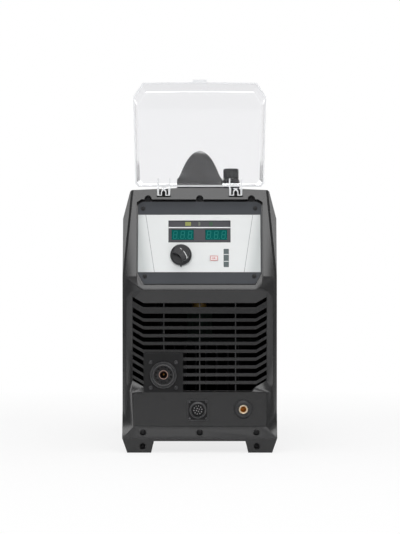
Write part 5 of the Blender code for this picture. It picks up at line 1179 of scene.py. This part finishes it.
# work socket
work = {"x": 0.0728, "z": 0.0713}
spot = frontAt(work["x"], work["z"])
collar = turning(
    [
        (8, 4.6), (8.6, 5.3), (10, 5.5), (11.8, 5.5), (12.8, 5.2), (14.2, 4.2), (15.2, 3), (15.5, 1.8),
        (15.5, -0.7), (11, -0.7), (11, -27), (8, -27),
    ],
    96,
)
finishPiece(collar, "workCollar", "nylonBlack", place=spot, stands=("work_socket_collar",))
sleeve = turning(
    [
        (0, -25), (5.2, -25), (5.2, 2.2), (5.7, 3.2), (6.7, 3.5), (7.5, 2.8), (7.7, 2.2), (7.7, -27),
        (10.5, -27.3), (10.5, -31), (4, -31), (4, -43), (0, -43),
    ],
    72,
)
finishPiece(
    sleeve, "workSleeve", "creamRing", place=spot, edge=0.0002, stands=("work_socket_contact",),
)
liner = turning([(4.8, 1.2), (5.2, 1.4), (5.2, -24.8), (0, -24.8), (0, -13), (4.6, -15)], 64)
keyway = shifted(slab(0.0034, 0.0030, 0.0200), 0, 0.0052, -0.0120)
finishPiece(carve(liner, [keyway]), "workBore", "boreAmber", place=spot)

# raised marks beside the sockets: width, height and place of each bar
raised = {
    "bars": [
        (0.0076, 0.0011, -0.0603, 0.0869), (0.0076, 0.0011, -0.0603, 0.0901),
        (0.0066, 0.0012, 0.0999, 0.0890), (0.0012, 0.0050, 0.0975, 0.0866),
        (0.0012, 0.0050, 0.1023, 0.0866),
    ],
    "thick": 0.0006, "corner": 0.0003, "out": -0.0011,
}
bars = []
for wide, high, x, z in raised["bars"]:
    bar = slab(wide, high, raised["thick"], raised["corner"], 2)
    bars.append(moved(bar, frontAt(x, z, raised["out"])))
finishPiece(merged(bars), "raisedMarks", "mouldedCase", edge=0.00015)
print("sockets done")

# rear: fan
fan = {"z": 0.150, "front": 0.22005, "hub": 0.028, "blade": 0.0675, "blades": 7}
refined("fan_frame", "fanFrame", "nylonBlack", 0.0006)
hub = turning(
    [
        (0, 25.5), (24, 25.5), (27, 24.5), (28, 22.5), (28, 0), (25.5, 0), (25.5, 19), (6.2, 19),
        (6.2, 17.5), (0, 17.5),
    ],
    64,
)
bladeShapes = []
for step in range(fan["blades"]):
    blade = slab(fan["blade"] - fan["hub"] + 0.004, 0.034, 0.0018, 0.006, 4)
    longEdges = [e for e in blade.edges if e.calc_length() > 0.02]
    bmesh.ops.subdivide_edges(blade, edges=longEdges, cuts=6, use_grid_fill=True)
    middle = (fan["blade"] + fan["hub"] - 0.004) / 2
    shifted(blade, middle)
    for corner in blade.verts:
        twist = math.radians(38 - 260 * (corner.co.x - fan["hub"]))
        bend = -corner.co.y ** 2 * 5
        y, z = corner.co.y, corner.co.z + bend
        corner.co.y = y * math.cos(twist) - z * math.sin(twist)
        corner.co.z = y * math.sin(twist) + z * math.cos(twist) + 0.0128
    bladeShapes.append(turned(blade, 360 * step / fan["blades"]))
rotorPlace = rearAt(0, fan["z"], fan["front"] + 0.0085)
finishPiece(
    merged([hub] + bladeShapes), "fanRotor", "knobBlack", "fan_rotor", rotorPlace, 0.0004,
    stands=("fan_rotor",),
)

guard = {"wire": 0.0009, "rings": [0.0169, 0.0297, 0.0425, 0.0553, 0.0681], "reach": 0.0965}
rings = []
for radius in guard["rings"]:
    wire = bmesh.new()
    bmesh.ops.create_circle(wire, segments=10, radius=guard["wire"])
    moved(wire, Matrix.Translation((radius, 0, 0.0009)) @ upright)
    around = wire.verts[:] + wire.edges[:]
    bmesh.ops.spin(
        wire, geom=around, cent=(0, 0, 0), axis=(0, 0, 1), angle=2 * math.pi, steps=72, use_merge=True,
    )
    bmesh.ops.remove_doubles(wire, verts=wire.verts, dist=1e-6)
    bmesh.ops.recalc_face_normals(wire, faces=wire.faces)
    rings.append(wire)
rings.append(turning([(0, 0.2), (11.2, 0.2), (12, 0.8), (11.6, 1.7), (0, 1.8)], 48))
for turn in (45, 135):
    rings.append(turned(slab(guard["reach"] * 2, 0.0030, 0.0018, 0.0008, 2), turn))
for turn in (45, 135, 225, 315):
    eye = turning([(2.4, 0), (4.8, 0), (4.8, 1.8), (2.4, 1.8)], 32)
    rings.append(turned(shifted(eye, guard["reach"] - 0.0040), turn))
guardPlace = rearAt(0, fan["z"])
finishPiece(
    merged(rings), "fanGuard", "plainSteel", place=guardPlace, edge=0.0002, stands=("fan_guard",),
)
out = Matrix.Translation((guard["reach"] - 0.0040, 0, 0.0012))
places = [guardPlace @ Matrix.Rotation(math.radians(turn), 4, "Z") @ out for turn in (45, 135, 225, 315)]
screwSet("fanGuardScrews", 0.0042, 0.0024, places)


def dustFilter():
    # foam mat in a thin frame, in front of the fan; its near-black foam is partly the foam's colour and
    # partly painted shade for the dark inside seen through the louvres
    mat = {
        "half": 0.0805, "thick": 0.0050, "frame": 0.0830, "band": 0.0050, "frameThick": 0.0066,
        "front": 0.2194,
    }
    foam = slab(mat["half"] * 2, mat["half"] * 2, mat["thick"], 0.008, 4)
    faces = [face for face in foam.faces if abs(face.normal.z) > 0.9]
    edges = {edge for face in faces for edge in face.edges}
    bmesh.ops.inset_region(foam, faces=faces, thickness=0.006, depth=-0.0008)
    bmesh.ops.subdivide_edges(foam, edges=[e for e in foam.edges if e not in edges], cuts=1)
    frameRing = outlineRing(mat["frame"] * 2, mat["frame"] * 2, mat["band"], mat["frameThick"], 0.009)
    place = rearAt(0, fan["z"], mat["front"] - mat["frameThick"])
    finishPiece(
        foam, "dustFilter", "foamPaintedShade", place=place @ Matrix.Translation((0, 0, 0.0008)),
        edge=0.0008,
    )
    finishPiece(frameRing, "dustFilterFrame", "nylonBlack", place=place, edge=0.0006)


dustFilter()
print("fan done")

# rear: mains switch
mains = {"x": -0.060, "z": 0.340}
refined("mains_switch_body", "switchBody", "knobBlack", 0.0008)
spot = rearAt(mains["x"], mains["z"])
dial = turning(
    [
        (0, -9), (4.8, -9), (4.8, 4.6), (16.6, 4.6), (17, 5.2), (17, 8.8), (15.5, 10.6), (12, 11.2),
        (0, 11.2),
    ],
    80,
)
wing = shifted(slab(0.0318, 0.0094, 0.0112, 0.0044, 6), z=0.0106)
finishPiece(
    merged([dial, wing]), "switchKnob", "redPlastic", "mains_switch_knob", spot, 0.0007, 3,
    ("mains_switch_knob",),
)
arrow = shifted(slab(0.0085, 0.0012, 0.0002), 0.0100, 0, 0.0217)
finishPiece(arrow, "switchKnobLine", "whiteInk", "mains_switch_knob", spot)
signs = [
    shifted(numeral("ON", 0.0038, 0.00015), 0, 0.0200, 0.0040),
    shifted(numeral("OFF", 0.0034, 0.00015), 0.0198, 0.0125, 0.0040),
]
finishPiece(merged(signs), "switchWords", "whiteInk", place=spot)
corners = [(-0.0200, 0.0200), (-0.0200, -0.0200), (0.0200, -0.0200)]
places = [spot @ Matrix.Translation((x, z, 0.0039)) for x, z in corners]
screwSet("switchScrews", 0.0022, 0.0011, places, "plainSteel", edge=0.00015)

# rear: cable gland, air port, earth stud
gland = {"x": -0.060, "z": 0.262, "flutes": 16}
spot = rearAt(gland["x"], gland["z"])
neck = turning([(6.5, -14), (10, -14), (10, 0), (6.5, 0)], 48)
hexNut = carve(post(0.0135, 0.0002, 0.0070, 6), [post(0.0066, -0.01, 0.02, 40)])
dome = turning([(6.6, 6.6), (12, 6.6), (12, 17), (11, 19.6), (9, 21.8), (6.5, 22)], 64)
flutes = []
for step in range(gland["flutes"]):
    flutes.append(turned(shifted(post(0.0010, 0.0085, 0.0300, 10), 0.0124), 360 * step / gland["flutes"]))
finishPiece(
    merged([neck, hexNut, carve(dome, flutes)]), "cableGland", "nylonBlack", place=spot,
    edge=0.0003, stands=("cable_gland",),
)
lockNut = carve(post(0.0140, 0, 0.005, 6), [post(0.0103, -0.01, 0.02, 40)])
finishPiece(
    lockNut, "glandNut", "nylonBlack",
    place=rearAt(gland["x"], gland["z"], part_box("gland_nut")[0].y), edge=0.0004, stands=("gland_nut",),
)

port = {"x": 0.010, "z": 0.330}
spot = rearAt(port["x"], port["z"])
barb = [(0, -0.0120), (0.0060, -0.0120), (0.0060, 0.0140), (0.0036, 0.0146)]
for step in range(3):
    low = 0.0150 + 0.0026 * step
    barb += [(0.0036, low), (0.0026, low + 0.0024)]
barb += [(0.0024, 0.0230), (0, 0.0230)]
portHex = post(0.0095, 0.0002, 0.0062, 6)
finishPiece(
    merged([lathe(barb, 48), portHex]), "airPort", "turnedBrass", place=spot, edge=0.0003,
    stands=("air_port",),
)

earth = {"x": -0.0905, "z": 0.0620, "turns": 9}
spot = rearAt(earth["x"], earth["z"])
thread = [(0, -0.0100), (0.0030, -0.0100), (0.0030, 0.0040)]
for step in range(earth["turns"]):
    low = 0.0042 + 0.0009 * step
    thread += [(0.0026, low), (0.0030, low + 0.00045)]
thread += [(0.0024, 0.0128), (0, 0.0130)]
nut = post(0.0060, 0.0016, 0.0046, 6)
washer = turning([(2.8, 0), (6, 0), (6, 1.2), (2.8, 1.2)], 40)
finishPiece(
    merged([lathe(thread, 32), nut, washer]), "earthStud", "turnedBrass", place=spot, edge=0.0002,
    stands=("earth_stud",),
)

rearScrews = {
    "spots": [(-0.100, 0.380), (0.100, 0.380), (-0.100, 0.235), (0.100, 0.235), (0.100, 0.060)],
    "radius": 0.0036,
}
places = [rearAt(x, z, rearFace - 0.0003) for x, z in rearScrews["spots"]]
screwSet("rearSheetScrews", rearScrews["radius"], 0.0019, places)
print("rear fittings done")

# filter regulator
regulator = {"x": 0.0612, "y": 0.29185, "knobLow": 0.4816, "knobTop": 0.5016, "knobRadius": 0.0150}
centre = topAt(regulator["x"], regulator["y"], 0)
refined("regulator_body", "regulatorBody", "castMetal", 0.0015, 3)
refined("regulator_bracket", "regulatorBracket", "plainSteel", 0.0003)
bonnet = turning(
    [
        (10, 461.6), (10, 477), (4.4, 477), (4.4, 481), (13.8, 481), (15.2, 480.4), (16.4, 478.6),
        (17, 476), (17, 464), (16.5, 463.6), (16.5, 462.2), (17, 461.8), (17, 457.7), (14.4, 457.7),
        (14.4, 461.6),
    ],
    72,
)
finishPiece(
    bonnet, "regulatorBonnet", "knobBlack", place=centre, stands=("regulator_bonnet",),
)
low, high, radius = regulator["knobLow"], regulator["knobTop"], regulator["knobRadius"]
cap = lathe(
    [
        (0.0044, low), (radius - 0.0006, low), (radius, low + 0.0006), (radius, high - 0.0028),
        (radius - 0.0010, high - 0.0008), (radius - 0.0030, high), (0.0, high), (0.0, low + 0.0126),
        (0.0044, low + 0.0126),
    ],
    96,
)
grip = []
for step in range(24):
    grip.append(turned(shifted(post(0.0008, low + 0.0022, high + 0.002, 10), radius + 0.0002), 15 * step))
capShape = carve(cap, grip)
finishPiece(
    capShape, "pressureKnob", "knobBlack", "regulator_knob", centre, 0.0003,
    stands=("regulator_knob",),
)
refined("regulator_screw", "pressureScrew", "plainSteel", 0.0003)

bowl = turning(
    [
        (3.4, 342), (8, 342), (12.5, 343.4), (15.5, 347.2), (17.5, 351.6), (18.5, 358), (18.5, 409),
        (18.5, 414.7), (16, 414.7), (16, 359.2), (15.2, 354), (13.2, 350), (11.2, 346.4), (8, 345),
        (3.4, 345),
    ],
    80,
)
finishPiece(bowl, "filterBowl", "smokedBowl", place=centre, stands=("filter_bowl",))
element = turning([(0, 376), (9, 376), (9.8, 376.8), (9.8, 408), (12, 409), (12, 414.6), (0, 414.6)], 48)
finishPiece(element, "filterElement", "dialWhite", place=centre, edge=0.0003)
drain = turning(
    [
        (0, 333.2), (5.2, 333.2), (5.9, 333.8), (5.9, 338.8), (5.2, 339.2), (3, 339.2), (3, 346.8),
        (0, 346.8),
    ],
    48,
)
finishPiece(
    drain, "drainButton", "redPlastic", "drain_button", centre, 0.0002,
    stands=("drain_button",),
)

gauge = {"x": 0.0612, "z": 0.4350, "y": 0.31215, "start": -135, "sweep": 270}
spot = rearAt(gauge["x"], gauge["z"], gauge["y"])
caseShape = turning(
    [
        (0, -6.8), (4.8, -6.8), (4.8, 5.8), (19, 5.8), (20.2, 6.6), (20.5, 8), (20.5, 21.5), (20.3, 23.2),
        (19.6, 24), (18.9, 23.8), (18.7, 22.5), (18.7, 15), (0, 15),
    ],
    96,
)
finishPiece(caseShape, "gaugeCase", "knobBlack", place=spot, stands=("gauge_case",))
face = turning([(1.2, 15.3), (18.4, 15.3), (18.4, 15.9), (1.2, 15.9)], 72)
finishPiece(face, "gaugeFace", "dialWhite", place=spot, stands=("gauge_dial",))
ticks = []
for step in range(21):
    major = step % 2 == 0
    length = 0.0026 if major else 0.0015
    tick = slab(0.00045 if major else 0.00028, length, 0.00012)
    tick = shifted(tick, 0, 0.0168 - length / 2, 0.0159)
    ticks.append(turned(tick, -(gauge["start"] + gauge["sweep"] * step / 20)))
for step in range(6):
    angle = math.radians(gauge["start"] + gauge["sweep"] * step / 5)
    figure = numeral(str(step * 2), 0.0024, 0.00012)
    ticks.append(shifted(figure, 0.0122 * math.sin(angle), 0.0122 * math.cos(angle), 0.0159))
finishPiece(merged(ticks), "gaugeFigures", "blackInk", place=spot)
refined("gauge_needle", "gaugeNeedle", "redPlastic", 0.0001)
lens = turning([(0, 21.5), (18.4, 21.5), (18.4, 22.8), (17.6, 23.4), (0, 23.5)], 72)
finishPiece(lens, "gaugeLens", "gaugeGlass", place=spot, stands=("gauge_lens",))
for nodeName, name in (("air_inlet_fitting", "inletFitting"), ("air_outlet_elbow", "outletElbow")):
    refined(nodeName, name, "turnedBrass", 0.0003)
refined("air_hose", "airHose", "hoseBlue", 0.0001, sharp=50)
print("filter regulator done")

# inside
insideShells = {
    "control_board": ("controlBoard", "boardGreenPaintedShade", "board_green", 0.0002),
    "power_board": ("powerBoard", "boardGreenPaintedShade", "board_green", 0.0003),
    "heat_sink": ("heatSink", "finnedMetal", "heat_sink", 0.0003),
    "capacitor_left": ("leftCapacitor", "coreGreyPaintedShade", "core_grey", 0.0010),
    "capacitor_right": ("rightCapacitor", "coreGreyPaintedShade", "core_grey", 0.0010),
    "filter_choke": ("filterChoke", "amberTape", "winding_tape", 0.0008),
    "transformer_core": ("transformerCore", "coreGreyPaintedShade", "core_grey", 0.0008),
    "transformer_winding": ("transformerWinding", "tapeBrownPaintedShade", "winding_tape", 0.0008),
    "air_valve": ("airValve", "turnedBrass", "brass", 0.0006),
    "torch_hose": ("torchHose", "hoseBlack", "hose_blue", 0.0),
    "encoder_body": ("encoderBody", "trayMetal", "tray_steel", 0.0003),
    "encoder_shaft": ("encoderShaft", "plainSteel", "steel", 0.0003),
}
for nodeName, (name, look, slot, edge) in insideShells.items():
    refined(nodeName, name, look, edge, sharp=50 if nodeName == "torch_hose" else 32)
print("inside done")

# studio: pale floor, soft lamps, camera at the photograph's angle
scene = bpy.context.scene
scene.view_settings.view_transform = "Standard"


def backgroundShare(tree, glossy):
    path = tree.nodes.new("ShaderNodeLightPath")
    seen = mathNode(tree, "MAXIMUM", path.outputs["Is Camera Ray"], path.outputs["Is Transmission Ray"])
    shine = mathNode(tree, "MULTIPLY", path.outputs["Is Glossy Ray"], glossy)
    return mathNode(tree, "MAXIMUM", seen, shine)


def makeWorld():
    sky = {"low": (0.13, 0.13, 0.13), "high": (0.60, 0.60, 0.61), "glossy": 0.02}
    world = bpy.data.worlds.new("studio")
    scene.world = world
    world.use_nodes = True
    tree = world.node_tree
    split = tree.nodes.new("ShaderNodeSeparateXYZ")
    tree.links.new(tree.nodes.new("ShaderNodeTexCoord").outputs["Generated"], split.inputs[0])
    lift = mathNode(tree, "MULTIPLY_ADD", split.outputs["Z"], 1.0, 0.05, True)
    light = mixColour(tree, lift, sky["low"], sky["high"])
    colour = mixColour(tree, backgroundShare(tree, sky["glossy"]), light, (1.0, 1.0, 1.0))
    tree.links.new(colour, tree.nodes["Background"].inputs["Color"])
    tree.nodes["Background"].inputs["Strength"].default_value = 1.0


def makeFloor():
    # the floor turns into the white backdrop between two distances from the unit
    ground = {
        "half": 30.0, "tone": (0.88, 0.88, 0.88), "share": 0.80, "glossy": 0.1, "fadeFrom": 0.55,
        "fadeOver": 0.9,
    }
    bm = bmesh.new()
    bmesh.ops.create_grid(bm, x_segments=2, y_segments=2, size=ground["half"])
    floor = held(bm, "floor")
    look, tree, shader = newLook("floor")
    shader.inputs["Roughness"].default_value = 0.9
    shader.inputs["Base Color"].default_value = (*ground["tone"], 1.0)
    glow = tree.nodes.new("ShaderNodeEmission")
    blend = tree.nodes.new("ShaderNodeMixShader")
    reach = tree.nodes.new("ShaderNodeVectorMath")
    reach.operation = "LENGTH"
    tree.links.new(objectPoint(tree), reach.inputs[0])
    past = mathNode(tree, "SUBTRACT", reach.outputs["Value"], ground["fadeFrom"])
    fade = mathNode(tree, "MULTIPLY", past, 1 / ground["fadeOver"], clamp=True)
    whiteness = mathNode(tree, "MULTIPLY_ADD", fade, 1 - ground["share"], ground["share"])
    share = mathNode(tree, "MULTIPLY", backgroundShare(tree, ground["glossy"]), whiteness)
    tree.links.new(share, blend.inputs[0])
    tree.links.new(shader.outputs["BSDF"], blend.inputs[1])
    tree.links.new(glow.outputs["Emission"], blend.inputs[2])
    tree.links.new(blend.outputs["Shader"], tree.nodes["Material Output"].inputs["Surface"])
    floor.data.materials.append(look)


def softbox(name, spot, wide, high, radiance):
    lamp = bpy.data.lights.new(name, "AREA")
    lamp.shape = "RECTANGLE"
    lamp.size = wide
    lamp.size_y = high
    lamp.energy = math.pi * wide * high * radiance
    thing = bpy.data.objects.new(name, lamp)
    thing.location = spot
    aim = Vector((0, -0.10, 0.28)) - Vector(spot)
    thing.rotation_euler = aim.to_track_quat("-Z", "Y").to_euler()
    scene.collection.objects.link(thing)


makeWorld()
makeFloor()
softboxes = {
    "keySoftbox": ((0.0, -2.24, 1.42), 2.0, 0.75, 3.3),
    "topSoftbox": ((0.0, -0.55, 2.40), 1.8, 1.50, 2.3),
    "leftStrip": ((-2.2, -0.7, 0.9), 0.5, 1.4, 1.6),
    "rightStrip": ((2.2, -0.7, 0.9), 0.5, 1.4, 1.6),
    "backSoftbox": ((0.0, 2.4, 1.4), 1.8, 0.9, 2.0),
}
for lampName, (spot, wide, high, radiance) in softboxes.items():
    softbox(lampName, spot, wide, high, radiance)

view = {"spot": (0.0005, -3.82415, 0.3088), "lens": 36 * 3.5 / 0.891}
camera = bpy.data.cameras.new("camera")
camera.sensor_width = 36
camera.lens = view["lens"]
cameraThing = bpy.data.objects.new("camera", camera)
cameraThing.location = view["spot"]
cameraThing.rotation_euler = (math.pi / 2, 0, 0)
scene.collection.objects.link(cameraThing)
scene.camera = cameraThing
print("studio done")

bpy.context.view_layer.update()
